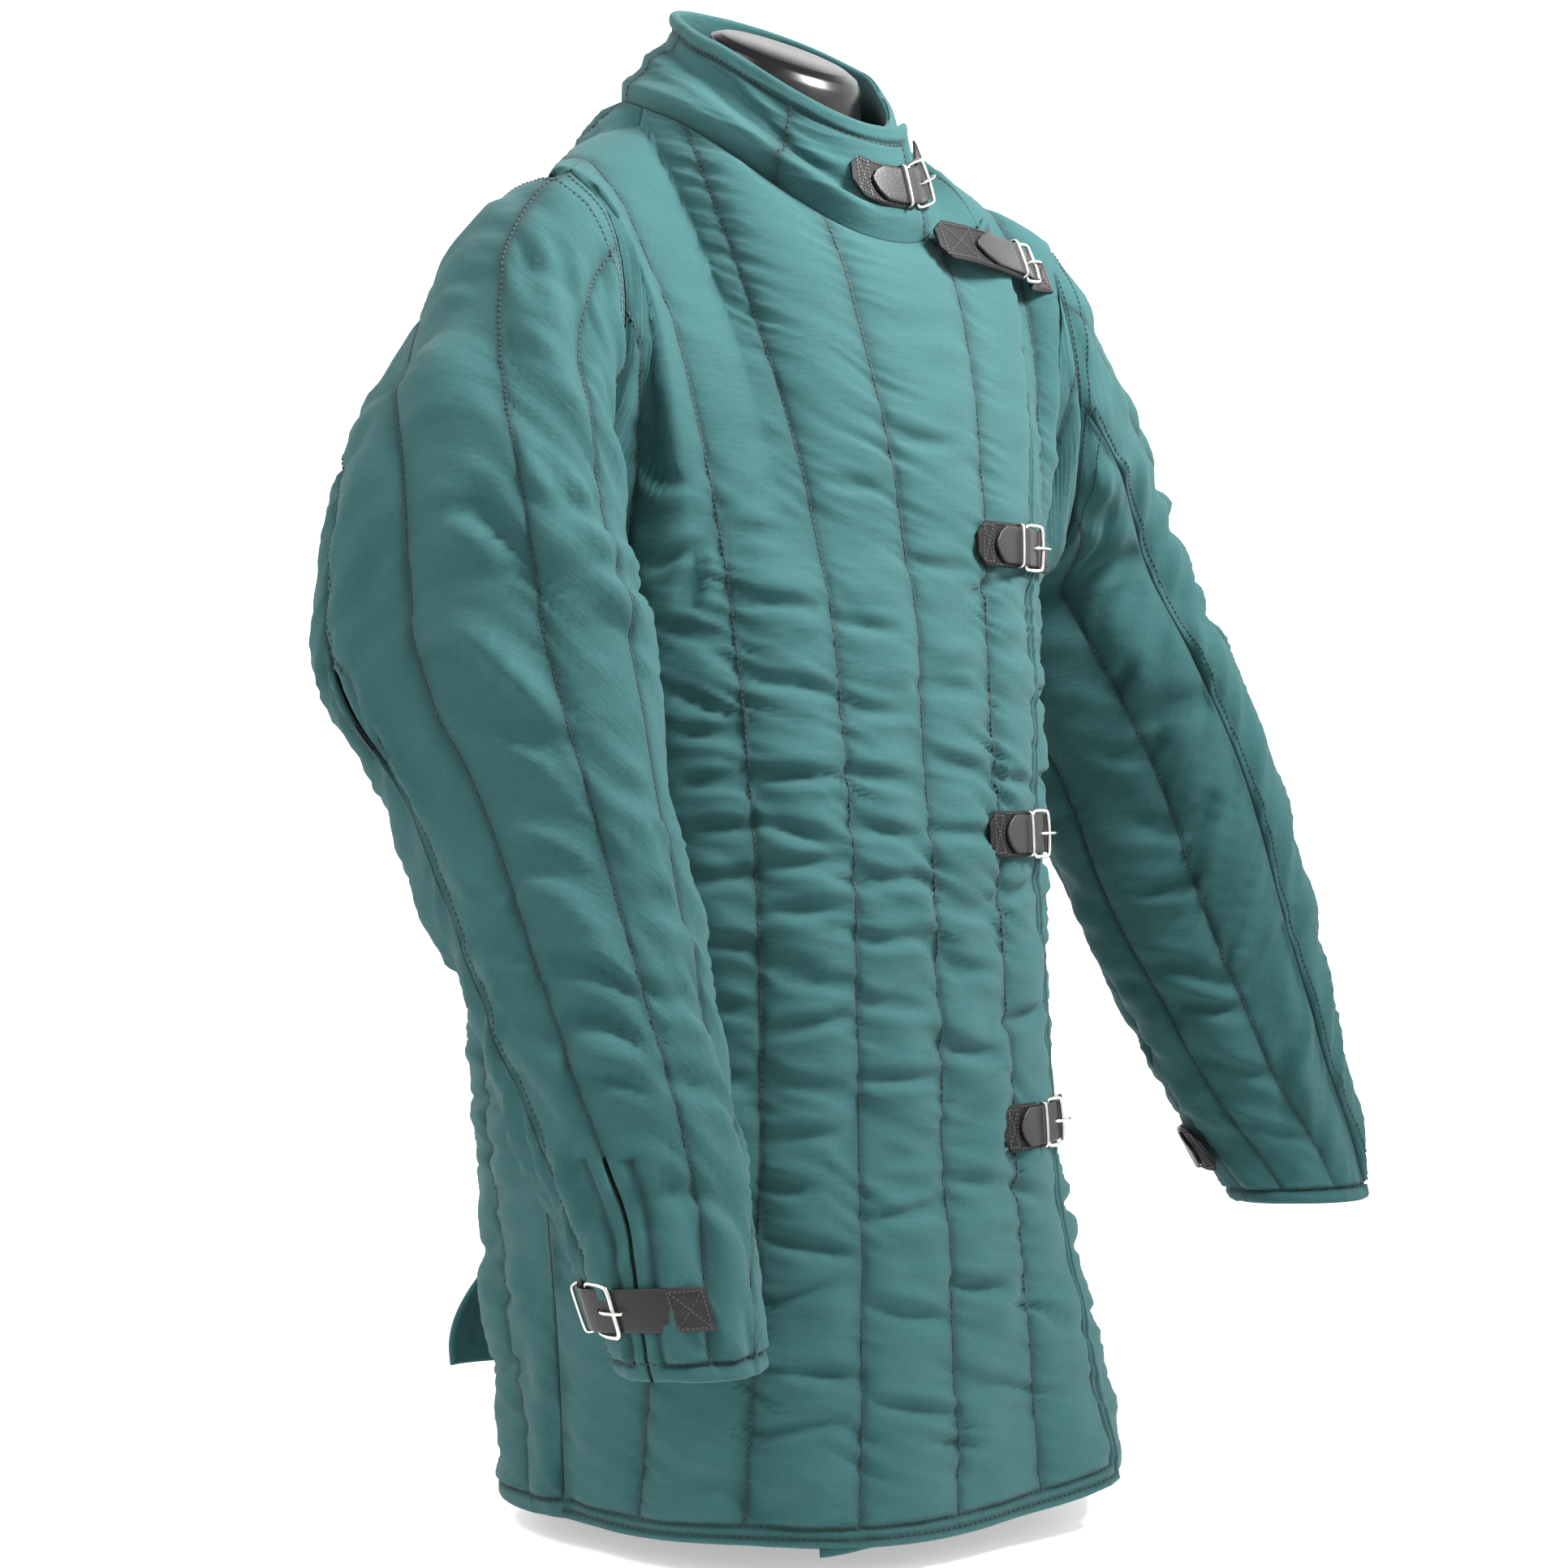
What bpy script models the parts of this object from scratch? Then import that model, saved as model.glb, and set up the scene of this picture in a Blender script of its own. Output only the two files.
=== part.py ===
"""Quilted gambeson on a limbless dress form: cloth walls, leather closures, form and stand.

Metres, +Z up. The wearer would face -Y and the wearer's right is -X. The origin is the middle of the stand's
underside. The body is one surface P(u, t): u counts quilted channels around the garment, from the right side
seam (0) over the front to the left side seam (9) and the back, and t runs from the hem (0) past the chest (1)
to the armholes, shoulder seams and neck (2). Every panel is a piece of that surface, given a thickness.
"""

from math import cos, pi, radians, sin

import bpy
import numpy as np

# Quilting
CHANNELS = 18
STITCHED = 0.0040            # wall thickness on a stitch line
PUFFED = 0.0092              # wall thickness in the middle of a channel
RIM = 0.0070                 # wall thickness of a turned edge
SEAM_HALF_GAP = 0.00017      # half of what parts two pieces at a straight seam
RING_HALF_GAP = 0.00055      # the same along the armholes and shoulder seams, which twist
CREASE_WALL = 0.0016         # wall thickness right at the armhole seam
CREASE_GROWTH = 0.30         # how fast it grows away from that seam

# Body
CHEST_Z = 0.56
OVERLAP_LIFT = 0.0078        # how far the overlap stands off, to clear the front under it
UNDER_PUFF = 0.0056          # wall of the under front where the overlap presses on it
EDGE_OVER, EDGE_UNDER = 6.0, 8 / 3
EDGE_SPREAD = 0.26           # channels that the overlap's top corner gains
NECK_END_OVER, NECK_END_UNDER = 5.0, 4.0
U_TIP, U_NECK = 5 / 3, 8 / 3  # where the shoulder seam starts and ends
SKIRT_FLARE = 0.022
FLARE_TOP_Z = 0.24
VENT_TOP_Z = 0.30
VENT_SWING = 0.115           # how far the left back's corner stands out there
VENT_ASIDE, VENT_RISE = -0.60, 0.48  # how far it goes aside and up for that
UNDER_DROP = 0.007           # how far the under front's corner hangs lower

# Leather and wire
PATCH_WIDTH = 0.029
LEATHER = 0.0022
WIRE = 0.0013                # wire radius

# Stand
BASE_RADIUS, BASE_HEIGHT = 0.130, 0.010
POLE_RADIUS = 0.016


def columns(text, rows):
    """A table as named columns."""
    return {name: np.array([row[i] for row in rows], float) for i, name in enumerate(text.split())}


BODY = columns("z middle half front side back square channel shift turn", [
    (0.02, -0.006, 0.188, -0.203, -0.005, 0.138, 2.50, 0.0694, -0.010, 3.0),
    (0.12, -0.010, 0.185, -0.193, -0.003, 0.150, 2.45, 0.0645, -0.002, 2.0),
    (0.25, -0.019, 0.187, -0.182, -0.004, 0.162, 2.35, 0.0620, 0.012, 1.5),
    (0.43, -0.022, 0.188, -0.169, -0.004, 0.152, 2.35, 0.0615, 0.019, 1.0),
    (0.56, -0.014, 0.187, -0.153, -0.006, 0.150, 2.45, 0.0635, 0.018, 0.0),
    (0.70, -0.012, 0.187, -0.133, -0.012, 0.150, 2.50, 0.0670, 0.024, -3.0),
])
HEM = columns("u z", [
    (0.0, 0.019), (1.0, 0.018), (2.0, 0.020), (3.0, 0.018), (4.0, 0.018), (5.0, 0.022), (6.0, 0.030),
    (7.5, 0.032), (9.0, 0.034), (11.0, 0.028), (13.5, 0.020), (16.0, 0.016), (18.0, 0.019),
])
ARMHOLE_FRONT = columns("k x y z", [
    (0.00, -0.230, 0.005, 0.628), (0.20, -0.221, -0.046, 0.650), (0.42, -0.204, -0.073, 0.708),
    (0.65, -0.196, -0.074, 0.765), (0.85, -0.195, -0.055, 0.814), (1.00, -0.200, -0.028, 0.839),
])
ARMHOLE_BACK = columns("k x y z", [
    (0.00, -0.230, 0.005, 0.628), (0.20, -0.222, 0.056, 0.650), (0.45, -0.205, 0.084, 0.715),
    (0.70, -0.196, 0.060, 0.792), (0.87, -0.197, 0.018, 0.834), (1.00, -0.200, -0.028, 0.839),
])
SHOULDER = columns("k x y z", [
    (0.0, -0.200, -0.028, 0.839), (0.3, -0.168, 0.000, 0.853), (0.6, -0.135, 0.017, 0.871),
    (1.0, -0.093, 0.026, 0.893),
])
ARRIVE_FRONT = columns("v x y z", [
    (0.0, -0.30, 0.00, 1.00), (0.8, -0.30, 0.10, 0.95), (1.33, -0.38, 0.42, 0.82), (1.67, -0.20, 0.80, 0.56),
    (2.2, 0.18, 0.85, 0.50), (2.67, 0.35, 0.80, 0.62), (4.5, 0.00, 0.60, 0.91),
])
ARRIVE_BACK = columns("v x y z", [
    (0.0, -0.30, 0.00, 1.00), (0.8, -0.16, -0.10, 1.00), (1.33, -0.35, -0.60, 0.60),
    (1.67, -0.30, -0.90, -0.08), (2.2, 0.15, -0.95, 0.00), (2.67, 0.35, -0.80, 0.24),
    (4.5, 0.00, -0.60, 0.91),
])
LEFT_RAISE = 0.009           # the left shoulder's tip is carried this much higher
LEFT_ARCH = 0.009            # and the middle of its seam this much more
LEFT_FLATTER = 0.34          # how much flatter the left front arrives there
CORNER_FLATTER = 0.30        # and how much more so beside the collar
OVERLAP_TOP = columns("u t", [(5.0, 2.0), (5.34, 1.885), (5.67, 1.79), (5.84, 1.72), (6.0, 1.60)])

NECK = dict(rx=0.095, ry=0.1030, y=0.005, mid=0.8797, tilt=0.0545, saddle=-0.0142)
COLLAR_RIM = dict(rx=0.064, ry=0.077, y=-0.006, mid=0.9430, tilt=0.0500, saddle=-0.0040)
SEAM_ANGLE = radians(101)    # from the neck's front to the shoulder seam

SLEEVE_RIGHT = columns("z x y wide thin yaw", [
    (0.605, -0.2825, -0.045, 0.0885, 0.044, -62.0),
    (0.549, -0.285, -0.053, 0.098, 0.041, -62.5),
    (0.510, -0.285, -0.069, 0.093, 0.040, -60.0),
    (0.477, -0.280, -0.085, 0.082, 0.039, -58.0),
    (0.383, -0.271, -0.120, 0.068, 0.037, -53.0),
    (0.315, -0.262, -0.140, 0.060, 0.036, -48.0),
    (0.270, -0.255, -0.152, 0.053, 0.036, -45.0),
    (0.200, -0.242, -0.171, 0.042, 0.035, -42.0),
    (0.139, -0.232, -0.182, 0.036, 0.034, -42.0),
])
SLEEVE_LEFT = columns("z x y wide thin yaw", [
    (0.598, 0.287, 0.020, 0.100, 0.042, -66.0),
    (0.563, 0.293, -0.001, 0.098, 0.041, -66.0),
    (0.490, 0.312, -0.031, 0.091, 0.039, -62.0),
    (0.365, 0.344, -0.062, 0.078, 0.037, -58.0),
    (0.290, 0.365, -0.083, 0.064, 0.036, -52.0),
    (0.218, 0.388, -0.097, 0.053, 0.036, -46.0),
    (0.172, 0.400, -0.111, 0.043, 0.035, -42.0),
])

# How a sleeve leaves its armhole: out, more out at the tip, down, less down.
CAP_RIGHT = 0.70, 0.08, 0.76, 0.22
CAP_LEFT = 0.60, 0.08, 0.80, 0.25
SEAM_TURN = 0.19             # half turns that the seams have gone to the front below the cap
SEAM_TURN_CUFF = 0.45        # share of it at the cuff
SLEEVE_HALF_GAP = 0.00040    # half of what parts the two pieces of a sleeve
ELBOW_VENT_Z, ELBOW_VENT_HALF = 0.510, 0.034
VENT_HALF = 0.0045           # half of the elbow vent's gape
CUFF_SLIT_TOP_Z, SLIT_COLUMN, SLIT_HALF = 0.262, 9, 0.0026


def pick(table, name, x, by="z"):
    """A smooth cubic through one column of a table."""
    knots, values = table[by], table[name]
    order = np.argsort(knots)
    knots, values = knots[order], values[order]
    slopes = np.gradient(values, knots)
    x = np.clip(x, knots[0], knots[-1])
    i = np.clip(np.searchsorted(knots, x) - 1, 0, len(knots) - 2)
    h = knots[i + 1] - knots[i]
    return hermite(values[i], h * slopes[i], values[i + 1], h * slopes[i + 1], (x - knots[i]) / h)


def hermite(start, leave, end, arrive, t):
    """Cubic from start to end with the given slopes."""
    return ((2 * t**3 - 3 * t**2 + 1) * start + (t**3 - 2 * t**2 + t) * leave
            + (-2 * t**3 + 3 * t**2) * end + (t**3 - t**2) * arrive)


def ease(low, high, x):
    """0 below low, 1 above high, smooth between."""
    t = np.clip((x - low) / (high - low), 0.0, 1.0)
    return t * t * (3 - 2 * t)


def unit(v):
    v = np.asarray(v, float)
    return v / np.maximum(np.linalg.norm(v, axis=-1, keepdims=True), 1e-12)


# ------------------------------------------------------------------ body surface

def power(c, s, square):
    """A superellipse's cosine and sine."""
    e = 2 / square
    return np.sign(c) * np.abs(c) ** e, np.sign(s) * np.abs(s) ** e


def section(z, u):
    """Where channel coordinate u lies on the body's level curve at height z."""
    row = {name: float(pick(BODY, name, z)) for name in BODY if name != "z"}
    u = u % CHANNELS
    front = u <= 9
    angles = np.linspace(0, pi, 241)
    c, s = power(np.cos(angles), np.sin(angles), row["square"])
    depth = row["side"] - row["front"] if front else row["back"] - row["side"]
    side = -1 if front else 1
    xs, ys = side * row["half"] * c, row["side"] + side * depth * s
    length = np.concatenate([[0], np.cumsum(np.hypot(np.diff(xs), np.diff(ys)))])
    width = row["channel"]
    first = (length[-1] - 7 * width) / 2
    q = u if front else u - 9
    shift = row["shift"] if front else 0.0
    stops = [0, first + shift, first + 7 * width + shift, length[-1]]
    run = float(np.interp(q, [0, 1, 8, 9], stops))
    x, y = np.interp(run, length, xs), np.interp(run, length, ys)
    turn = radians(row["turn"])
    x, y = row["middle"] + cos(turn) * x - sin(turn) * y, sin(turn) * x + cos(turn) * y
    flare = SKIRT_FLARE * (1 - ease(0.02, FLARE_TOP_Z, z)) * (ease(4.6, 6.0, u) if u <= 9 else 0.0)
    return np.array([x + 0.35 * flare, y - 0.94 * flare])


def read(table, k):
    return np.array([float(pick(table, axis, k, "k")) for axis in "xyz"])


def ring(shape, angle):
    """A neck ring: angle 0 at the front, a quarter turn at the wearer's right."""
    c, s = power(cos(angle), sin(angle), 2.2)
    z = shape["mid"] - shape["tilt"] * cos(angle) + shape["saddle"] * cos(2 * angle)
    return np.array([-shape["rx"] * s, shape["y"] - shape["ry"] * c, z])


def neck_angle(u):
    """The neck ring's angle where column u ends: positive on the wearer's right."""
    v, mirror, front = fold(u)
    share = (v - U_NECK) / (4.5 - U_NECK)
    angle = SEAM_ANGLE * (1 - share) if front else SEAM_ANGLE + (pi - SEAM_ANGLE) * share
    return angle * mirror[0]


def fold(u):
    """Column u as if on the wearer's right: its place v, its mirror, and whether it is in front."""
    u = u % CHANNELS
    right = u <= 4.5 or u > 13.5
    v = u if u <= 4.5 else 9 - u if u <= 9 else u - 9 if u <= 13.5 else 18 - u
    return v, np.array([1.0 if right else -1.0, 1, 1]), u <= 9


def armhole(k, front, side):
    """A point of the armhole seam, from the armpit (0) to the shoulder tip (1)."""
    point = read(ARMHOLE_FRONT if front else ARMHOLE_BACK, k) * np.array([-side, 1, 1])
    return point + np.array([0, 0, LEFT_RAISE if side > 0 else 0.0]) * float(ease(0.3, 1.0, k))


def top_end(u):
    """Where column u ends, the direction it arrives in, its wall's direction there, and the kind of seam."""
    v, mirror, front = fold(u)
    side = -mirror[0]
    table = ARRIVE_FRONT if front else ARRIVE_BACK
    arrive = unit([float(pick(table, axis, v, "v")) for axis in "xyz"]) * mirror
    if side > 0 and front:
        lower = float(ease(1.3, 2.0, v)) * (1 - float(ease(2.8, 3.8, v)))
        at_corner = float(ease(2.0, 2.7, v)) * (1 - float(ease(2.8, 3.8, v)))
        arrive = unit(arrive - np.array([0, 0, LEFT_FLATTER * lower + CORNER_FLATTER * at_corner]))
    if v < U_TIP - 1e-9:
        point = armhole(v / U_TIP, front, side)
        return point, arrive, armhole_wall(point, side), "armhole"
    if v < U_NECK - 1e-9:
        k = (v - U_TIP) / (U_NECK - U_TIP)
        point = read(SHOULDER, k) * mirror
        point[2] += (LEFT_RAISE * (1 - k) ** 0.5 + LEFT_ARCH * 4 * k * (1 - k)) if side > 0 else 0.0
        ends = armhole_wall(point, side) * (1 - k) + neck_wall(SEAM_ANGLE * mirror[0]) * k
        wall = unit(ends + np.array([0, 0, 1.2 * k * (1 - k)]))
        return point, arrive, wall, "shoulder" if k > 0 else "tip"
    angle = neck_angle(u)
    return ring(NECK, angle), arrive, neck_wall(angle), "neck"


def armhole_wall(point, side):
    """The wall's direction on the armhole seam: out from the armhole's middle."""
    middle = np.array([point[0] - side * 0.012, 0.002, 0.738])
    return unit((point - middle) * np.array([1, 1, 0.80]))


def neck_wall(angle):
    return unit([-sin(angle), -cos(angle), 0.62])


def body(u, t):
    """The plain inside of the body at column u and level t."""
    hem = float(pick(HEM, "z", u % CHANNELS, "u"))
    if t <= 1:
        z = hem + (CHEST_Z - hem) * t
        return np.append(section(z, u), z)
    low, high = section(CHEST_Z - 0.02, u), section(CHEST_Z, u)
    start = np.append(high, CHEST_Z)
    end, arrive, _, _ = top_end(u)
    length = np.linalg.norm(end - start)
    return hermite(start, np.append((high - low) / 0.02, 1) * length * 0.9, end, arrive * length * 0.9, t - 1)


def body_wall(u, t):
    """The wall's direction, pointing out."""
    if t >= 2:
        return top_end(u)[2]
    du, dt = 0.02, 0.004
    across = body(u + du, t) - body(u - du, t)
    along = body(u, min(t + dt, 2.0)) - body(u, max(t - dt, 0.0))
    return unit(np.cross(across, along))


def across(u, t):
    return unit(body(u + 0.02, t) - body(u - 0.02, t))


def quilt(u, puff):
    """Wall thickness over a channel: thin on each whole number, puffed between."""
    return STITCHED + (puff - STITCHED) * abs(sin(pi * u)) ** 0.55


def level(u, z):
    """The level t at which column u is at height z."""
    low, high = 0.0, 1.98
    for _ in range(30):
        middle = (low + high) / 2
        low, high = (middle, high) if body(u, middle)[2] < z else (low, middle)
    return low


# ------------------------------------------------------------------ meshes

def material(name, colour, roughness, metallic=0.0):
    mat = bpy.data.materials.new(name)
    mat.use_nodes = True
    shader = mat.node_tree.nodes["Principled BSDF"]
    shader.inputs["Base Color"].default_value = (*colour, 1)
    shader.inputs["Roughness"].default_value = roughness
    shader.inputs["Metallic"].default_value = metallic
    return mat


def add_object(name, points, faces, mat, smooth=True):
    mesh = bpy.data.meshes.new(name)
    mesh.from_pydata([tuple(p) for p in points], [], [tuple(int(i) for i in f) for f in faces])
    mesh.update()
    if smooth:
        mesh.shade_smooth()
    mesh.materials.append(mat)
    obj = bpy.data.objects.new(name, mesh)
    bpy.context.scene.collection.objects.link(obj)
    return obj


def add_wall(name, inner, outer, faces, mat):
    """A closed wall: faces outside, the same faces turned round inside, and a rim along every open edge."""
    count = len(inner)
    sides = {}
    for face in faces:
        for a, b in zip(face, face[1:] + face[:1]):
            sides[(a, b)] = True
    rims = [(a, b, b + count, a + count) for a, b in sides if (b, a) not in sides]
    out = [tuple(i + count for i in face) for face in faces]
    turned = [tuple(reversed(face)) for face in faces]
    return add_object(name, list(inner) + list(outer), out + turned + rims, mat)


def grid_faces(wide, high):
    """Quads of a grid stored row by row, wide points to a row."""
    return [(j * wide + i, j * wide + i + 1, (j + 1) * wide + i + 1, (j + 1) * wide + i)
            for j in range(high - 1) for i in range(wide - 1)]


def lace(lower, upper, lower_at, upper_at, first_lower, first_upper):
    """Triangles between two rows of points that don't match, by their places along the row."""
    faces, i, j = [], 0, 0
    while i < lower - 1 or j < upper - 1:
        take_lower = j == upper - 1 or (i < lower - 1 and lower_at[i + 1] <= upper_at[j + 1])
        if take_lower:
            faces.append((first_lower + i, first_lower + i + 1, first_upper + j))
            i += 1
        else:
            faces.append((first_lower + i, first_upper + j + 1, first_upper + j))
            j += 1
    return faces


# ------------------------------------------------------------------ body panels

RING_STEPS = 12              # sleeve columns on each half of an armhole
LEVELS = ([0.0, 0.012, 0.024, 0.045] + [0.14 + 0.86 * i / 8 for i in range(9)]
          + [1 + (i + 1) / 9 for i in range(8)])


def tuck(u):
    """How far the front beneath is tucked in to clear the overlap over it."""
    return OVERLAP_LIFT * (1 - float(ease(6.4, 7.7, u)))


def spread(u, t):
    """Column u of the overlap, which widens toward its top corner."""
    return u + EDGE_SPREAD * float(ease(1.15, 1.65, t)) * float(ease(5.2, 6.0, u))


def neck_tuck(angle):
    """How much of the tuck the neck seam takes, by the angle walked from the overlap round the back."""
    return float(ease(radians(259), radians(298), angle))


def vent_swing(u, t):
    """How far the left back swings out beside the centre back vent."""
    z = body(u, t)[2]
    return VENT_SWING * float(ease(10.8, 13.5, u)) * (1 - float(ease(0.03, VENT_TOP_Z, z)))


def panel_point(panel, u, t):
    """A panel's inner and outer points at u, t."""
    true_u = spread(u, t) if panel == "over" else u
    point, wall = body(true_u, t), body_wall(true_u, t)
    z = point[2]
    puff = PUFFED
    rise = float(ease(1.6, 2.0, t))
    base = -STITCHED * (1 - rise)
    if panel == "under":
        at_neck = neck_tuck(2 * pi + neck_angle(u)) if u < 9 - U_NECK else 0.0
        base -= tuck(u) * (1 - rise) + OVERLAP_LIFT * at_neck * rise
    if panel == "under" and u < EDGE_OVER + 0.7:
        puff = UNDER_PUFF + (PUFFED - UNDER_PUFF) * float(ease(EDGE_OVER + 0.3, EDGE_OVER + 0.7, u))
        corner = (1 - float(ease(2.6, 3.4, u))) * (1 - float(ease(0, 0.3, t)))
        point = point - np.array([0, 0, UNDER_DROP]) * corner
    if panel == "back_left":
        swing = vent_swing(u, t)
        share = swing / VENT_SWING
        point = point + wall * swing + np.array([VENT_ASIDE * swing * share**2, 0, VENT_RISE * swing])
    thick = quilt(u, puff)
    if t < 0.005:
        thick = RIM * 0.75
    elif t < 0.02:
        thick = min(RIM, thick + 0.002)
    elif t < 0.03:
        thick = STITCHED
    if panel == "over" and u > 5.75:
        thick = RIM * 0.8 if u > 5.95 else STITCHED if u < 5.87 else RIM
    if panel == "under" and u < 3.0:
        thick = min(thick, STITCHED + 0.001)
    if t > 1.5:
        end, _, _, kind = top_end(u)
        away = np.linalg.norm(end - point)
        if kind == "armhole":
            thick = min(thick, CREASE_WALL + CREASE_GROWTH * away)
        else:
            thick = min(thick, STITCHED + 0.25 * away)
    return point + wall * base, point + wall * (base + thick)


def body_panel(name, panel, u_low, u_high, mat, gap_low=True, gap_high=True, top_level=None):
    """One panel between two columns, with its seams set back by half a gap."""
    inside = [k / 3 for k in range(int(np.ceil(u_low * 3 - 1e-6)), int(np.floor(u_high * 3 + 1e-6)) + 1)]
    places = sorted({round(u, 6) for u in [u_low, *inside, u_high]})
    if panel == "over":
        places = [u for u in places if u < 5.7] + [5.82, 5.91, 6.0]
    inner, outer = [], []

    def add(u, t, shift):
        a, b = panel_point(panel, u, t)
        inner.append(a + shift)
        outer.append(b + shift)

    def seam_shift(u, t):
        shift = np.zeros(3)
        if gap_low and abs(u - u_low) < 1e-6:
            shift += across(u, min(t, 1.95)) * SEAM_HALF_GAP
        if gap_high and abs(u - u_high) < 1e-6:
            shift -= across(u, min(t, 1.95)) * SEAM_HALF_GAP
        return shift

    for t in LEVELS:
        for u in places:
            end = 2.0 if top_level is None else top_level(u)
            add(u, t * end / 2 if t > 1 or end < 2 else t, seam_shift(u, t))
    faces = grid_faces(len(places), len(LEVELS))
    start = len(inner)
    top_places = []
    for u in places:
        kind = top_end(u)[3]
        if kind == "armhole":
            continue
        top_places.append(u)
    sides = {0: 0.0, 9: 9.0, 18: 18.0}
    for middle in sides.values():
        for w in np.linspace(-U_TIP, U_TIP, 2 * RING_STEPS + 1):
            u = middle + w
            if u_low - 1e-6 <= u <= u_high + 1e-6 and not any(abs(u - p) < 1e-6 for p in top_places):
                top_places.append(u)
    top_places.sort()
    for u in top_places:
        end = 2.0 if top_level is None else top_level(u)
        shift = seam_shift(u, 2.0)
        if end > 1.999:
            _, arrive, wall, kind = top_end(u)
            v, mirror, front = fold(u)
            if kind in ("armhole", "tip"):
                shift = shift + np.array([mirror[0] * RING_HALF_GAP, 0, 0])
            if kind in ("shoulder", "tip") or abs(v - U_NECK) < 1e-6:
                shift = shift - np.array([0, RING_HALF_GAP * (1 if front else -1), 0])
            if kind == "neck":
                angle = neck_angle(u)
                down = np.array([-0.53 * sin(angle), -0.53 * cos(angle), -0.85])
                shift = shift + down * RING_HALF_GAP
        add(u, end, shift)
    faces += lace(len(places), len(top_places), places, top_places, start - len(places), start)
    return add_wall(name, inner, outer, faces, mat)


def over_top(u):
    """The level at which the overlap's top edge cuts column u."""
    return 2.0 if u <= NECK_END_OVER else float(pick(OVERLAP_TOP, "t", u, "u"))


def under_top(u):
    """The same for the front beneath, which ends as the overlap does, mirrored."""
    return 2.0 if u >= NECK_END_UNDER else float(pick(OVERLAP_TOP, "t", 9 - u, "u"))


# ------------------------------------------------------------------ sleeves

def armhole_ring(side):
    """The armhole seam's points from the armpit over the front, the tip and the back."""
    places = [k / RING_STEPS for k in range(2 * RING_STEPS)]
    points = [armhole(min(k, 2 - k), k <= 1, side) for k in places]
    return points, [armhole_wall(point, side) for point in points], places


def seam_turn(table, z):
    """How far the sleeve's seams have turned at height z."""
    return SEAM_TURN * (SEAM_TURN_CUFF + (1 - SEAM_TURN_CUFF) * float(ease(0.0, 0.11, z - table["z"].min())))


def sleeve_section(table, side, z, places):
    """A level section of the sleeve, at the same places around as the armhole."""
    row = {name: float(pick(table, name, z)) for name in table}
    turn, yaw = seam_turn(table, z), radians(row["yaw"])
    wide = np.array([cos(yaw), sin(yaw), 0])
    thin = np.array([-wide[1], wide[0], 0]) * (1 if -wide[1] * side > 0 else -1)
    points = []
    for k in places:
        angle = (k - 0.5 - turn) * pi
        c, s = power(cos(angle), sin(angle), 2.2)
        points.append(np.array([row["x"], row["y"], z]) + row["wide"] * c * wide + row["thin"] * s * thin)
    return np.array(points)


def sleeve_grid(table, side, cap_rows=9, arm_rows=15):
    """The sleeve's plain inside: a row for each level, starting on the armhole seam."""
    points, walls, places = armhole_ring(side)
    start = np.array(points)
    places = np.array(places)
    high, low = table["z"].max(), table["z"].min()
    end = sleeve_section(table, side, high, places)
    below = sleeve_section(table, side, high - 0.01, places)
    out = np.array([side, 0.0, 0.0])
    up = 0.5 - 0.5 * np.cos(places * pi)
    fore = np.sin(places * pi)
    outward, lift, drop, ease_off = CAP_LEFT if side > 0 else CAP_RIGHT
    leave = unit(np.outer(outward + lift * up, out) + np.outer(drop - ease_off * up, [0, 0, -1])
                 + np.outer(0.22 * fore, [0, -1, 0]))
    length = np.linalg.norm(end - start, axis=1)[:, None]
    rows = [hermite(start, leave * length * 1.15, end, unit(below - end) * length * 1.1, i / cap_rows)
            for i in range(cap_rows)]
    rows += [sleeve_section(table, side, z, places) for z in np.linspace(high, low, arm_rows)]
    return np.array(rows), np.array(walls)


def sleeve_walls(grid, first):
    """Directions out of the sleeve, from the grid's own slopes."""
    around = np.roll(grid, -1, axis=1) - np.roll(grid, 1, axis=1)
    down = np.gradient(grid, axis=0)
    walls = unit(np.cross(around, down))
    middle = grid.mean(axis=1, keepdims=True)
    if ((grid - middle) * walls).sum() < 0:
        walls = -walls
    walls[0] = first
    walls[1] = unit(walls[1] + 0.35 * first)
    return walls


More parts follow.
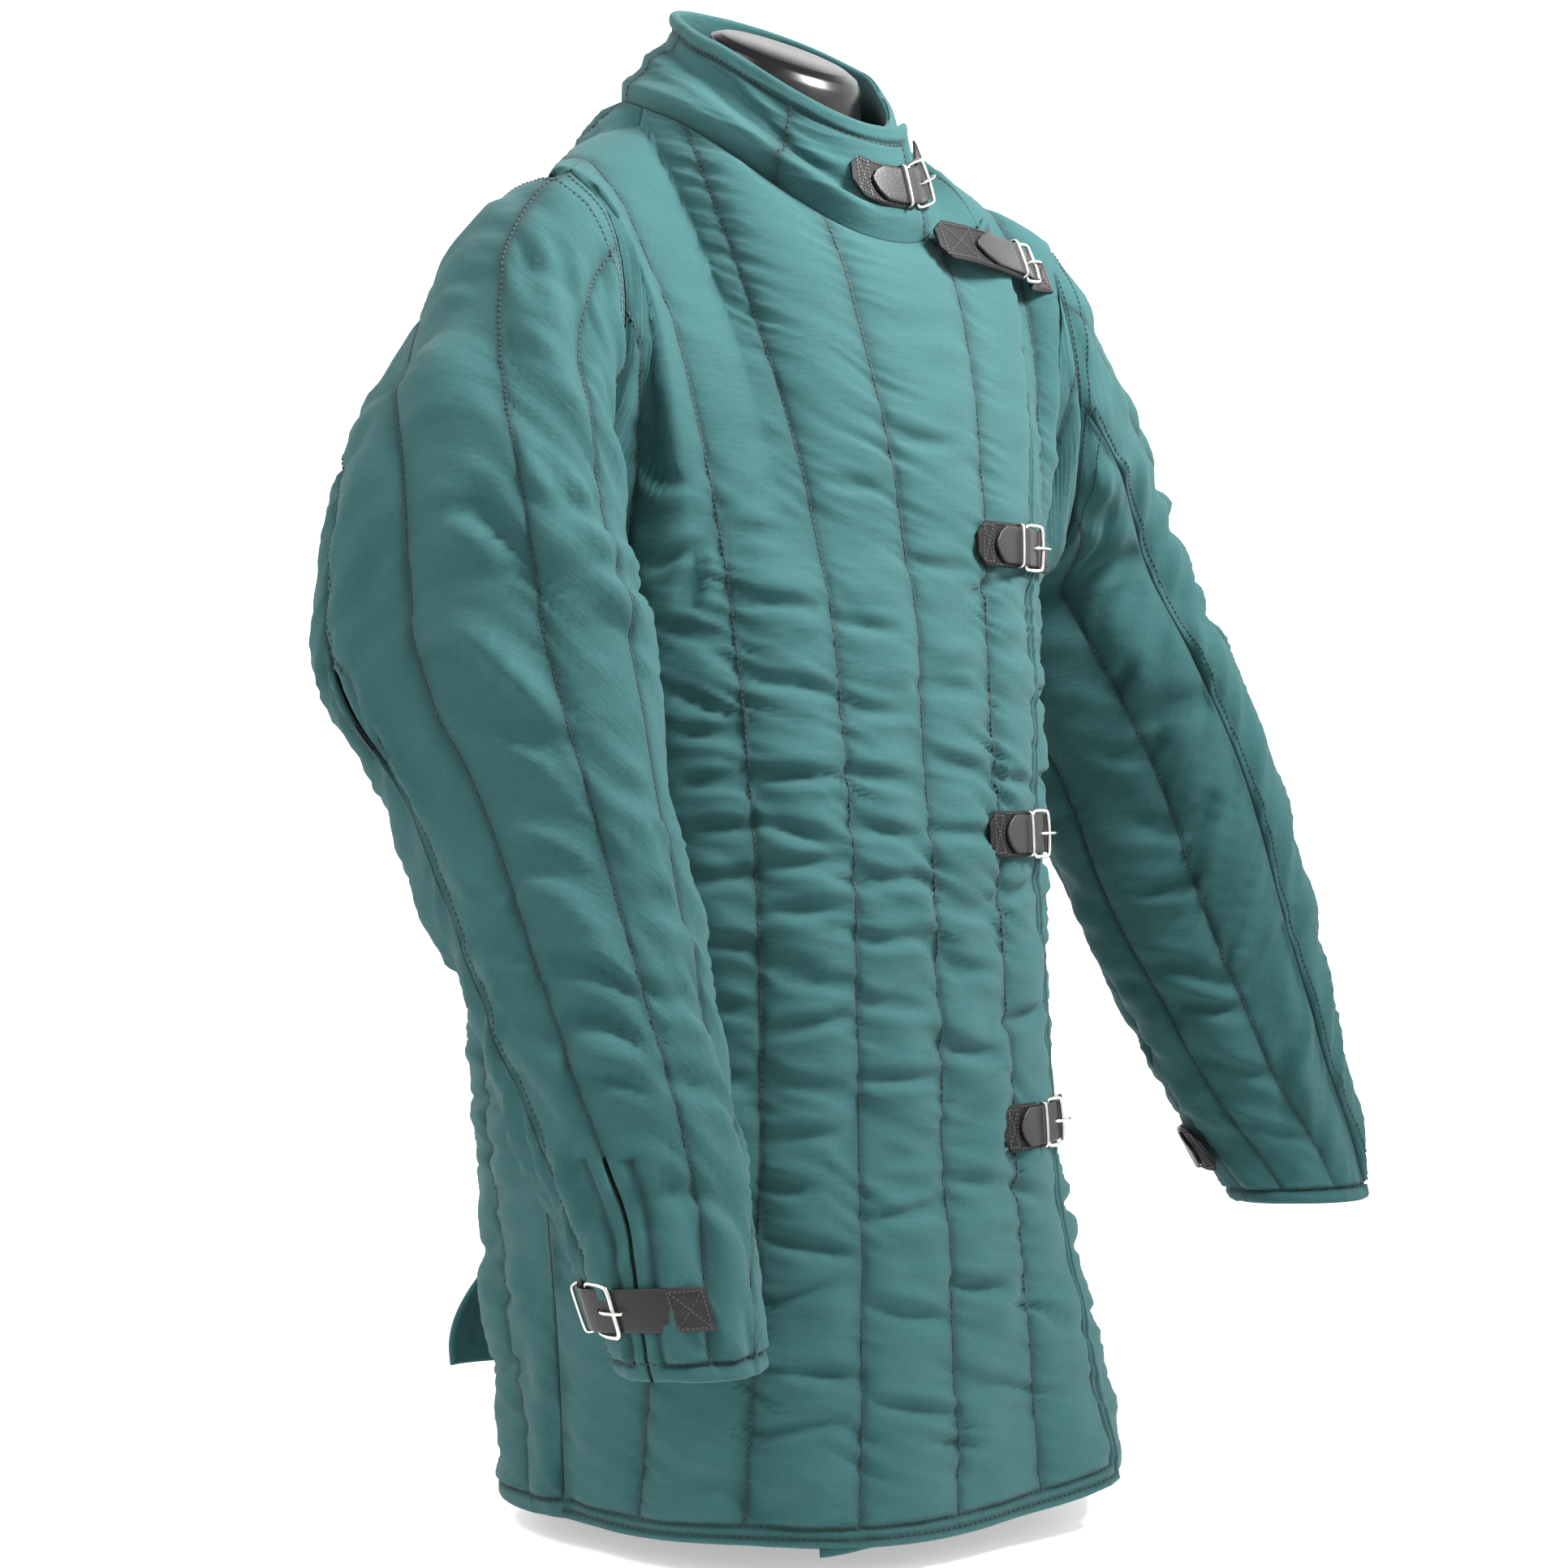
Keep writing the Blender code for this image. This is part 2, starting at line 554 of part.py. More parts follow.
def sleeve_panels(name, table, side, mat):
    """The outer and under pieces of one sleeve, with the elbow vent and the cuff slit."""
    grid, first = sleeve_grid(table, side)
    walls = sleeve_walls(grid, first)
    rows, around = grid.shape[:2]
    steps = np.linalg.norm(np.diff(grid, axis=0), axis=2)
    depth = np.concatenate([[np.zeros(around)], np.cumsum(steps, axis=0)])
    left_over = depth[-1] - depth
    front_seam, rear_seam = RING_STEPS // 2, 3 * RING_STEPS // 2
    pieces = {"outer": list(range(front_seam, rear_seam + 1)),
              "under": list(range(rear_seam, 2 * RING_STEPS + front_seam + 1))}
    for piece, ids in pieces.items():
        inner, outer, number = [], [], {}
        slit = SLIT_COLUMN if piece == "outer" else None

        def put(r, i, shift):
            j = i % around
            channel = (i - front_seam) / 3
            thick = STITCHED + (PUFFED - STITCHED) * abs(sin(pi * channel)) ** 0.55
            thick = min(thick, CREASE_WALL + CREASE_GROWTH * depth[r, j])
            if left_over[r, j] < 0.001:
                thick = RIM * 0.75
            elif left_over[r, j] < 0.008:
                thick = RIM
            inner.append(grid[r, j] + shift)
            outer.append(grid[r, j] + shift + walls[r, j] * thick)
            return len(inner) - 1

        for r in range(rows):
            z = grid[r].mean(axis=0)[2]
            for i in ids:
                j = i % around
                ahead = unit(grid[r, (j + 1) % around] - grid[r, j - 1])
                shift = np.zeros(3)
                if r == 0:
                    shift = shift + np.array([side * RING_HALF_GAP, 0, 0])
                half = SLEEVE_HALF_GAP
                at_rear = j == rear_seam % around
                if at_rear:
                    half += VENT_HALF * float(np.exp(-((z - ELBOW_VENT_Z) / ELBOW_VENT_HALF) ** 4))
                if i == ids[0]:
                    shift = shift + ahead * half
                elif i == ids[-1]:
                    shift = shift - ahead * half
                if slit is not None and i == front_seam + slit and z < CUFF_SLIT_TOP_Z:
                    number[(r, i, "low")] = put(r, i, shift - ahead * SLIT_HALF)
                    number[(r, i, "high")] = put(r, i, shift + ahead * SLIT_HALF)
                else:
                    number[(r, i, "low")] = number[(r, i, "high")] = put(r, i, shift)
        faces = []
        for r in range(rows - 1):
            for a, b in zip(ids, ids[1:]):
                face = (number[(r, a, "high")], number[(r, b, "low")],
                        number[(r + 1, b, "low")], number[(r + 1, a, "high")])
                faces.append(face)
        normal = np.cross(inner[faces[0][1]] - inner[faces[0][0]], inner[faces[0][3]] - inner[faces[0][0]])
        if normal @ (outer[faces[0][0]] - inner[faces[0][0]]) < 0:
            faces = [tuple(reversed(face)) for face in faces]
        add_wall(f"{name}_{piece}", inner, outer, faces, mat)


# ------------------------------------------------------------------ collar

COLLAR_TUCK = 0.0105
COLLAR_HEIGHT = 0.078        # at the front
COLLAR_LEVELS = [0.0, 0.10, 0.25, 0.42, 0.58, 0.80, 0.88, 1.0]


def collar_span():
    """Angles of the collar's columns, from its upper end at the left front round to its under end."""
    over = [NECK_END_OVER - k / 3 for k in range(int(round((NECK_END_OVER - U_NECK) * 3)) + 1)]
    back = [18 - U_NECK - k / 3 for k in range(6)] + [13.5] + [13 + 1 / 3 - k / 3 for k in range(6)]
    under = [9 - U_NECK - k / 3 for k in range(int(round((9 - U_NECK - NECK_END_UNDER) * 3)) + 1)]
    angles = [neck_angle(u) for u in over + back] + [neck_angle(u) for u in under]
    out = [angles[0]]
    for angle in angles[1:]:
        while angle < out[-1] - 1e-6:
            angle += 2 * pi
        if angle > out[-1] + 1e-4:
            out.append(angle)
    return out


def collar_point(angle, v, inward):
    """A point of the collar's plain inside, its direction out, and its thickness."""
    base, rim = ring(NECK, angle), ring(COLLAR_RIM, angle)
    radial = np.array([-sin(angle), -cos(angle), 0])
    front = float(ease(-0.2, 0.9, angle)) * (1 - float(ease(4.2, 5.2, angle)))
    front *= 0.5 + 0.5 * cos(angle - 0.5)
    roll = (0.001 + 0.010 * front) * sin(pi * min(v / 0.42, 1.0)) - 0.003 * front * sin(pi * v) ** 2
    lean = 1 - (1 - v) ** 1.35
    point = base + (rim - base) * np.array([lean, lean, v]) + radial * (roll - inward)
    wall = neck_wall(angle) if v == 0 else unit(radial + np.array([0, 0, 0.62 * (1 - v) ** 2 + 0.12]))
    thick = {0.0: STITCHED, 0.88: STITCHED, 1.0: RIM * 0.7}.get(v, 0.0072 if v < 0.8 else RIM)
    return point, wall, thick


def add_collar(mat):
    angles = collar_span()
    inner, outer = [], []
    for v in COLLAR_LEVELS:
        for n, angle in enumerate(angles):
            inward = neck_tuck(angle)
            point, wall, thick = collar_point(angle, v, COLLAR_TUCK * inward)
            if v == 0:
                shift = np.array([0.53 * sin(angle), 0.53 * cos(angle), 0.85]) * SEAM_HALF_GAP
                point = ring(NECK, angle) - neck_wall(angle) * OVERLAP_LIFT * inward + shift
            if 0 < v < 0.8 and n % 4 == 0:
                thick = STITCHED + 0.001
            inner.append(point)
            outer.append(point + wall * thick)
    faces = grid_faces(len(angles), len(COLLAR_LEVELS))
    faces = [tuple(reversed(face)) for face in faces]
    return add_wall("collar", inner, outer, faces, mat)


# ------------------------------------------------------------------ form and stand

FORM = columns("z half front back square tilt", [
    (0.345, 0.138, -0.112, 0.108, 2.2, 0.0), (0.365, 0.152, -0.126, 0.120, 2.2, 0.0),
    (0.430, 0.156, -0.136, 0.124, 2.2, 0.0), (0.500, 0.148, -0.128, 0.116, 2.2, 0.0),
    (0.560, 0.154, -0.124, 0.122, 2.2, 0.0), (0.620, 0.162, -0.112, 0.126, 2.3, 0.0),
    (0.680, 0.168, -0.094, 0.122, 2.3, 0.0), (0.740, 0.170, -0.074, 0.106, 2.2, 0.0),
    (0.792, 0.1736, -0.052, 0.086, 2.1, 0.0), (0.821, 0.163, -0.038, 0.070, 2.0, 0.0),
    (0.840, 0.146, -0.030, 0.062, 2.0, 2.0), (0.857, 0.118, -0.030, 0.060, 2.0, 5.0),
    (0.873, 0.092, -0.036, 0.058, 2.0, 10.0), (0.888, 0.070, -0.046, 0.058, 2.0, 16.0),
    (0.902, 0.059, -0.052, 0.057, 2.0, 21.0), (0.925, 0.055, -0.054, 0.056, 2.0, 26.0),
    (0.941, 0.0535, -0.0545, 0.054, 2.0, 27.5), (0.9475, 0.050, -0.052, 0.051, 2.0, 27.5),
    (0.951, 0.043, -0.045, 0.044, 2.0, 27.5),
])
FORM_COLUMNS = 28
FORM_ASIDE = -0.010          # the torso stands this far to the wearer's right inside the jacket


def add_stack(name, rings, mat):
    """A closed solid through rings of equal counts, listed from the bottom up."""
    count = len(rings[0])
    points = [point for ring_points in rings for point in ring_points]
    faces = []
    for start in range(0, (len(rings) - 1) * count, count):
        for i in range(count):
            after = start + (i + 1) % count
            faces.append((start + i, after, after + count, start + i + count))
    faces.append(tuple(reversed(range(count))))
    faces.append(tuple(range((len(rings) - 1) * count, len(rings) * count)))
    return add_object(name, points, faces, mat)


def add_form(mat):
    rings = []
    for n in range(len(FORM["z"])):
        row = {name: values[n] for name, values in FORM.items()}
        aside = FORM_ASIDE * (1 - float(ease(0.80, 0.90, row["z"])))
        middle = (row["front"] + row["back"]) / 2
        deep = (row["back"] - row["front"]) / 2
        lean = radians(row["tilt"])
        points = []
        for i in range(FORM_COLUMNS):
            angle = 2 * pi * i / FORM_COLUMNS
            c, s = power(cos(angle), sin(angle), row["square"])
            points.append((aside + row["half"] * c, middle + deep * s * cos(lean),
                           row["z"] + deep * s * sin(lean)))
        rings.append(points)
    return add_stack("form_torso", rings, mat)


def disc_ring(radius, z, count=40):
    return [(radius * cos(2 * pi * i / count), radius * sin(2 * pi * i / count), z) for i in range(count)]


def add_stand(steel):
    top = BASE_HEIGHT
    add_stack("form_base", [disc_ring(BASE_RADIUS, 0), disc_ring(BASE_RADIUS, top - 0.003),
                            disc_ring(BASE_RADIUS - 0.003, top)], steel)
    low, high = top + 0.0003, FORM["z"][0] - 0.0003
    add_stack("form_pole", [disc_ring(0.030, low, 20), disc_ring(0.030, low + 0.004, 20),
                            disc_ring(POLE_RADIUS, low + 0.008, 20), disc_ring(POLE_RADIUS, high, 20)], steel)


# ------------------------------------------------------------------ closures

BUCKLE_INSET = 0.12          # channels from the overlap's edge to a buckle
SHOULDER_STRAP_ENDS = 7.45, 4.50
SHOULDER_STRAP_START = -0.042
SHOULDER_STRAP_Z = 0.8120
SHOULDER_STRAP_LIFT = 0.0124
FRONT_CLOSURES = {"chest": 0.620, "waist": 0.437, "hip": 0.255}
UNDER_DROP_AT_STRAP = 0.0072
STRAP = columns("x height drop half", [
    (-0.040, 0.0006, 0.75, 0.0120), (-0.027, 0.0002, 0.95, 0.0120), (-0.016, 0.0000, 1.00, 0.0120),
    (-0.0075, 0.0002, 0.55, 0.0120), (-0.002, 0.0004, 0.00, 0.0120), (0.003, 0.0006, 0.00, 0.0120),
    (0.0085, 0.0014, 0.00, 0.0120), (0.0135, 0.0024, 0.00, 0.0120), (0.0205, 0.0037, 0.00, 0.0120),
    (0.027, 0.0034, 0.00, 0.0120), (0.036, 0.0031, 0.00, 0.0120), (0.046, 0.0031, 0.00, 0.0120),
    (0.052, 0.0031, 0.00, 0.0075), (0.0555, 0.0031, 0.00, 0.0015),
])
HOLE_ROW = 6                 # the strap's hole lies between this station and the next
HOLE_HALF = 0.0026
END_BAR_X, HINGE_X = 0.002, 0.0205
TAB_START, TAB_END = 0.0255, 0.070
KEEPER_X = 0.031


def add_strip(name, place, stations, mat, holes=()):
    """A leather strip over a surface; place(x, w, h) puts along, across and height into the frame."""
    inner, outer = [], []
    for x, height, half in stations:
        middle = min(HOLE_HALF, half * 0.5)
        for w in (-half, -middle, middle, half):
            inner.append(place(x, w, height))
            outer.append(place(x, w, height + LEATHER))
    open_cells = [3 * row + 1 for row in holes]
    faces = [face for n, face in enumerate(grid_faces(4, len(stations))) if n not in open_cells]
    face = faces[0]
    normal = np.cross(inner[face[1]] - inner[face[0]], inner[face[3]] - inner[face[0]])
    if normal @ (outer[face[0]] - inner[face[0]]) < 0:
        faces = [tuple(reversed(face)) for face in faces]
    return add_wall(name, inner, outer, faces, mat)


def add_wire(name, path, radius, mat, closed=False, sides=6):
    """A round wire along a path of points."""
    path = np.array(path)
    count = len(path)
    if closed:
        along = unit(np.roll(path, -1, axis=0) - np.roll(path, 1, axis=0))
    else:
        along = unit(np.gradient(path, axis=0))
    normal = unit(np.cross(path[1] - path[0], path[2] - path[0]))
    rings = []
    for point, forward in zip(path, along):
        across_it = unit(np.cross(forward, normal))
        up = np.cross(across_it, forward)
        rings.append([point + radius * (cos(2 * pi * i / sides) * across_it + sin(2 * pi * i / sides) * up)
                      for i in range(sides)])
    if not closed:
        return add_stack(name, rings[::-1], mat)
    points = [point for ring_points in rings for point in ring_points]
    faces = [(j * sides + i, (j + 1) % count * sides + i, (j + 1) % count * sides + (i + 1) % sides,
              j * sides + (i + 1) % sides) for j in range(count) for i in range(sides)]
    return add_object(name, points, faces, mat)


def add_closure(name, place, drop, leather, metal, reach=1.0, ledge=0.0):
    """One buckled strap: its strap, tab, keeper, buckle frame and prong.

    Reach stretches what lies past the buckle, and ledge is how much cloth lies before it.
    """
    def stretched(x):
        if x < -0.004:
            return x - ledge
        return x if x < TAB_START else TAB_START + (x - TAB_START) * reach

    stations = [(stretched(x), height - drop * share, half) for x, height, share, half
                in zip(STRAP["x"], STRAP["height"], STRAP["drop"], STRAP["half"])]
    add_strip(f"{name}_strap", place, stations, leather, holes=(HOLE_ROW,))
    steps = np.linspace(TAB_START, stretched(TAB_END), 5)
    add_strip(f"{name}_tab", place, [(x, 0.0004, PATCH_WIDTH / 2) for x in steps], leather)
    far, near, rail = 0.0044, 0.0019, 0.0146
    bend = 0.0022
    frame = [(END_BAR_X, -rail + bend, far), (END_BAR_X, 0, far + 0.0006), (END_BAR_X, rail - bend, far),
             (END_BAR_X + bend, rail, far), (HINGE_X - bend, rail, near), (HINGE_X, rail - bend, near),
             (HINGE_X, 0, near), (HINGE_X, -rail + bend, near), (HINGE_X - bend, -rail, near),
             (END_BAR_X + bend, -rail, far)]
    add_wire(f"{name}_buckle", [place(*spot) for spot in frame], WIRE, metal, closed=True)
    prong = [(0.0120, 0.0001, 0.0014), (0.0098, 0, 0.0058), (END_BAR_X, 0, 0.0078), (-0.0035, 0, 0.0076)]
    add_wire(f"{name}_prong", [place(*spot) for spot in prong], 0.0010, metal)
    keeper = [(KEEPER_X, -0.0138, 0.0032), (KEEPER_X, -0.0134, 0.0066), (KEEPER_X, -0.0110, 0.0074),
              (KEEPER_X, 0.0110, 0.0074), (KEEPER_X, 0.0134, 0.0066), (KEEPER_X, 0.0138, 0.0032)]
    add_wire(f"{name}_keeper", [place(*spot) for spot in keeper], 0.0010, metal)


def on_front(z, edge=EDGE_OVER - BUCKLE_INSET):
    """Places on the overlap's outside at height z, counted from its free edge."""
    width = float(pick(BODY, "channel", z))

    def place(x, w, h):
        u = edge - x / width
        t = level(u, z + w)
        return body(u, t) + body_wall(u, t) * (PUFFED - STITCHED + h)
    return place


def on_shoulder():
    """Places on a smooth line from the overlap's top corner over the left front beneath it."""
    line = np.array([body(u, level(u, SHOULDER_STRAP_Z)) for u in np.linspace(*SHOULDER_STRAP_ENDS, 25)])
    length = np.append(0, np.cumsum(np.linalg.norm(np.diff(line, axis=0), axis=1))) + SHOULDER_STRAP_START
    curve = [np.polyfit(length, line[:, axis], 3) for axis in range(3)]
    up = unit(np.array([0.0, 0.42, 0.90]))

    def place(x, w, h):
        middle = np.array([np.polyval(terms, x) for terms in curve])
        along = unit([np.polyval(np.polyder(terms), x) for terms in curve])
        out = unit(np.cross(up, along))
        return middle + up * w + out * (SHOULDER_STRAP_LIFT + h)
    return place


def on_collar(v_middle):
    """Places on the collar's outside, counted from its free end."""
    start = collar_span()[0]
    half = 0.017 / COLLAR_HEIGHT

    def place(x, w, h):
        angle = start + x / 0.088
        low, middle, high = (collar_point(angle, v_middle + d, 0.0)[0] for d in (-half, 0.0, half))
        side = collar_point(angle + 0.05, v_middle, 0.0)[0] - collar_point(angle - 0.05, v_middle, 0.0)[0]
        up = unit(high - low)
        wall = unit(np.cross(up, side))
        clear = max(0.0, (low - middle) @ wall)
        return middle + up * w + wall * (clear + 0.0076 + h)
    return place


def on_cuff(table, side, z_middle, k_start, direction):
    """Places on a sleeve's outside near the cuff, counted around from k_start."""
    def place(x, w, h):
        z = z_middle + w
        girth = pi * (float(pick(table, "wide", z)) + float(pick(table, "thin", z))) * 1.06
        k = k_start + seam_turn(table, z) + direction * 2 * x / girth
        around = sleeve_section(table, side, z, [k - 0.02, k, k + 0.02])
        higher = sleeve_section(table, side, z + 0.01, [k])[0]
        wall = unit(np.cross(around[2] - around[0], higher - around[1]))
        centre = np.array([float(pick(table, "x", z)), float(pick(table, "y", z)), z])
        if wall @ (around[1] - centre) < 0:
            wall = -wall
        return around[1] + wall * (PUFFED + h)
    return place


def main():
    for obj in list(bpy.data.objects):
        bpy.data.objects.remove(obj, do_unlink=True)
    cloth = material("quilted_cotton", (0.055, 0.19, 0.18), 0.85)
    body_panel("front_overlap", "over", 0.0, EDGE_OVER, cloth, gap_high=False, top_level=over_top)
    body_panel("front_under", "under", EDGE_UNDER, 9.0, cloth, gap_low=False, top_level=under_top)
    body_panel("back_left", "back_left", 9.0, 13.5, cloth)
    body_panel("back_right", "back_right", 13.5, 18.0, cloth)
    sleeve_panels("sleeve_right", SLEEVE_RIGHT, -1, cloth)
    sleeve_panels("sleeve_left", SLEEVE_LEFT, 1, cloth)
    add_collar(cloth)
    plastic = material("gloss_plastic", (0.012, 0.012, 0.013), 0.22)
    steel = material("coated_steel", (0.02, 0.02, 0.022), 0.45, 0.6)
    leather = material("black_leather", (0.018, 0.016, 0.015), 0.5)
    nickel = material("nickel_plate", (0.62, 0.60, 0.56), 0.25, 1.0)
    add_form(plastic)
    add_stand(steel)
    for name, z in FRONT_CLOSURES.items():
        add_closure(name, on_front(z), UNDER_DROP_AT_STRAP, leather, nickel, ledge=0.008)
    add_closure("shoulder", on_shoulder(), 0.0088, leather, nickel, reach=2.4, ledge=-0.004)
    add_closure("collar_closure", on_collar(0.45), 0.0060, leather, nickel)
    add_closure("cuff_right", on_cuff(SLEEVE_RIGHT, -1, 0.180, 1.20, 1), 0.0, leather, nickel)
    add_closure("cuff_left", on_cuff(SLEEVE_LEFT, 1, 0.212, 1.20, 1), 0.0, leather, nickel)


main()
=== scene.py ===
"""Looks of a quilted arming jacket that hangs on a limbless torso form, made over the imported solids."""

from __future__ import annotations

import logging
import sys
from dataclasses import dataclass, field
from enum import Enum
from math import cos, pi, radians, sin
from typing import Callable, Iterable, Sequence

import bpy
import numpy as np
from bpy.types import GeometryNodeTree, Material, Mesh, Node, NodeSocket, Object
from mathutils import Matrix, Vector

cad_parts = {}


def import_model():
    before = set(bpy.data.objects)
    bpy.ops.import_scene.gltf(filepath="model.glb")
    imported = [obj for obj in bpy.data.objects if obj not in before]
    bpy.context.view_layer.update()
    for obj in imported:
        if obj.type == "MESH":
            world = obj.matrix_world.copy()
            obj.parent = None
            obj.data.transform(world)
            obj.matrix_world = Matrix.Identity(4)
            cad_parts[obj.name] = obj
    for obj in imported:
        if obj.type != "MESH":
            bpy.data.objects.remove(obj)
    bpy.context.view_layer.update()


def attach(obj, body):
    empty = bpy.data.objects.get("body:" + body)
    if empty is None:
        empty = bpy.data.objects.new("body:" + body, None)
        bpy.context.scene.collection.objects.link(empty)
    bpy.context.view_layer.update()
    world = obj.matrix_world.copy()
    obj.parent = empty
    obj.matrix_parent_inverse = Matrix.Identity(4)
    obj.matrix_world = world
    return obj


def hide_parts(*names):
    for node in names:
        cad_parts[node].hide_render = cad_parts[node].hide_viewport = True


LOG = logging.getLogger("jacket")
Array = np.ndarray
Place = Callable[[float, float, float], Array]

CHANNELS = 18
COLUMNS_PER_CHANNEL = 18
SLEEVE_COLUMNS = 14

# Places of the rows of points beside free edges, counted in from the edge.
OVERLAP_EDGE = (0, 0.5, 1.2, 2.2, 3.4, 4.6, 5.4, 6.1, 6.9, 8.2, 9.8, 11.0, 12.0, 13.0, 14.4, 16.5)
VENT_EDGE = (0, 0.6, 1.4, 2.4, 3.6, 6.0, 9.0, 11.0, 12.5, 14.0, 17.0)
COLLAR_EDGE = (0, 0.5, 1.2, 2.2, 3.4, 5.0, 7.0, 9.0, 10.4, 11.5, 12.6, 14.0)
CUFF_EDGE = (0.0005, 0.0012, 0.0022, 0.0034, 0.005, 0.007, 0.0086, 0.0098, 0.0108, 0.0118, 0.0128, 0.0142)


class Side(Enum):
    """Which of the wearer's sides a piece is on; its value is the sign of X."""

    RIGHT = -1
    LEFT = 1


class Panel(Enum):
    """The four panels of the jacket's body."""

    OVER = "front_overlap"
    UNDER = "front_under"
    BACK_LEFT = "back_left"
    BACK_RIGHT = "back_right"


# ------------ small mathematics


def unit(v: Array) -> Array:
    """Vectors of length one along the last axis."""
    v = np.asarray(v, float)
    return v / np.maximum(np.linalg.norm(v, axis=-1, keepdims=True), 1e-12)


def ease(low: float, high: float, x: Array | float) -> Array:
    """0 below low, 1 above high, smooth between."""
    t = np.clip((np.asarray(x, float) - low) / (high - low), 0.0, 1.0)
    return t * t * (3 - 2 * t)


def power(c: Array, s: Array, square: float) -> tuple[Array, Array]:
    """A superellipse's cosine and sine."""
    e = 2 / square
    return np.sign(c) * np.abs(c) ** e, np.sign(s) * np.abs(s) ** e


def hermite(start: Array, leave: Array, end: Array, arrive: Array, t: Array | float) -> Array:
    """Cubic from start to end with the given slopes."""
    return ((2 * t**3 - 3 * t**2 + 1) * start + (t**3 - 2 * t**2 + t) * leave
            + (-2 * t**3 + 3 * t**2) * end + (t**3 - t**2) * arrive)


def noise(x: Array, y: Array, seed: int) -> Array:
    """Smooth value noise.

    Args:
        x: First coordinate, in cells.
        y: Second coordinate, in cells.
        seed: Which of the fields to read.

    Returns:
        Values from -1 to 1, of the inputs' common shape.
    """
    size = 128
    table = np.random.RandomState(seed).uniform(-1, 1, (size, size))
    x, y = np.broadcast_arrays(np.asarray(x, float), np.asarray(y, float))
    i, j = np.floor(x).astype(int), np.floor(y).astype(int)
    fx, fy = x - i, y - j
    fx, fy = fx * fx * (3 - 2 * fx), fy * fy * (3 - 2 * fy)
    i, j, i2, j2 = i % size, j % size, (i + 1) % size, (j + 1) % size
    return ((table[i, j] * (1 - fx) + table[i2, j] * fx) * (1 - fy)
            + (table[i, j2] * (1 - fx) + table[i2, j2] * fx) * fy)


class Table:
    """Rows with named columns, read with a smooth curve through any column."""

    def __init__(self, names: str, rows: Sequence[Sequence[float]]) -> None:
        """Keeps the rows.

        Args:
            names: The columns' names, the first of which the others are read by.
            rows: One row for each station.
        """
        self.names = names.split()
        self.values = dict(zip(self.names, np.array(rows, float).T))

    def knots(self) -> Array:
        """The first column."""
        return self.values[self.names[0]]

    def read(self, name: str, x: Array | float) -> Array:
        """The named column at x.

        Args:
            name: The column.
            x: Where along the first column.

        Returns:
            The values of a cubic through the rows, held level past the ends.
        """
        knots, values = self.knots(), self.values[name]
        order = np.argsort(knots)
        knots, values = knots[order], values[order]
        slopes = np.gradient(values, knots)
        x = np.clip(x, knots[0], knots[-1])
        i = np.clip(np.searchsorted(knots, x) - 1, 0, len(knots) - 2)
        h = knots[i + 1] - knots[i]
        return hermite(values[i], h * slopes[i], values[i + 1], h * slopes[i + 1], (x - knots[i]) / h)

    def point(self, x: float) -> Array:
        """The columns x, y and z at one station."""
        return np.array([float(self.read(axis, x)) for axis in "xyz"])


def table(names: str, rows: Sequence[Sequence[float]]) -> Table:
    """A table as the default of a class's field."""
    return field(default_factory=lambda: Table(names, rows))


# ------------ the jacket's cut


@dataclass(frozen=True)
class Quilting:
    """Thicknesses of the padded cloth, in metres."""

    stitched: float = 0.004
    puffed: float = 0.0092
    rim: float = 0.007
    under_puff: float = 0.0056
    crease_wall: float = 0.0016
    crease_growth: float = 0.3
    seam_half_gap: float = 0.00017
    ring_half_gap: float = 0.00055

    def across(self, u: Array, puff: Array | float) -> Array:
        """Wall thickness over a channel: thin on each whole number, puffed between."""
        return self.stitched + (puff - self.stitched) * np.abs(np.sin(pi * u)) ** 0.55


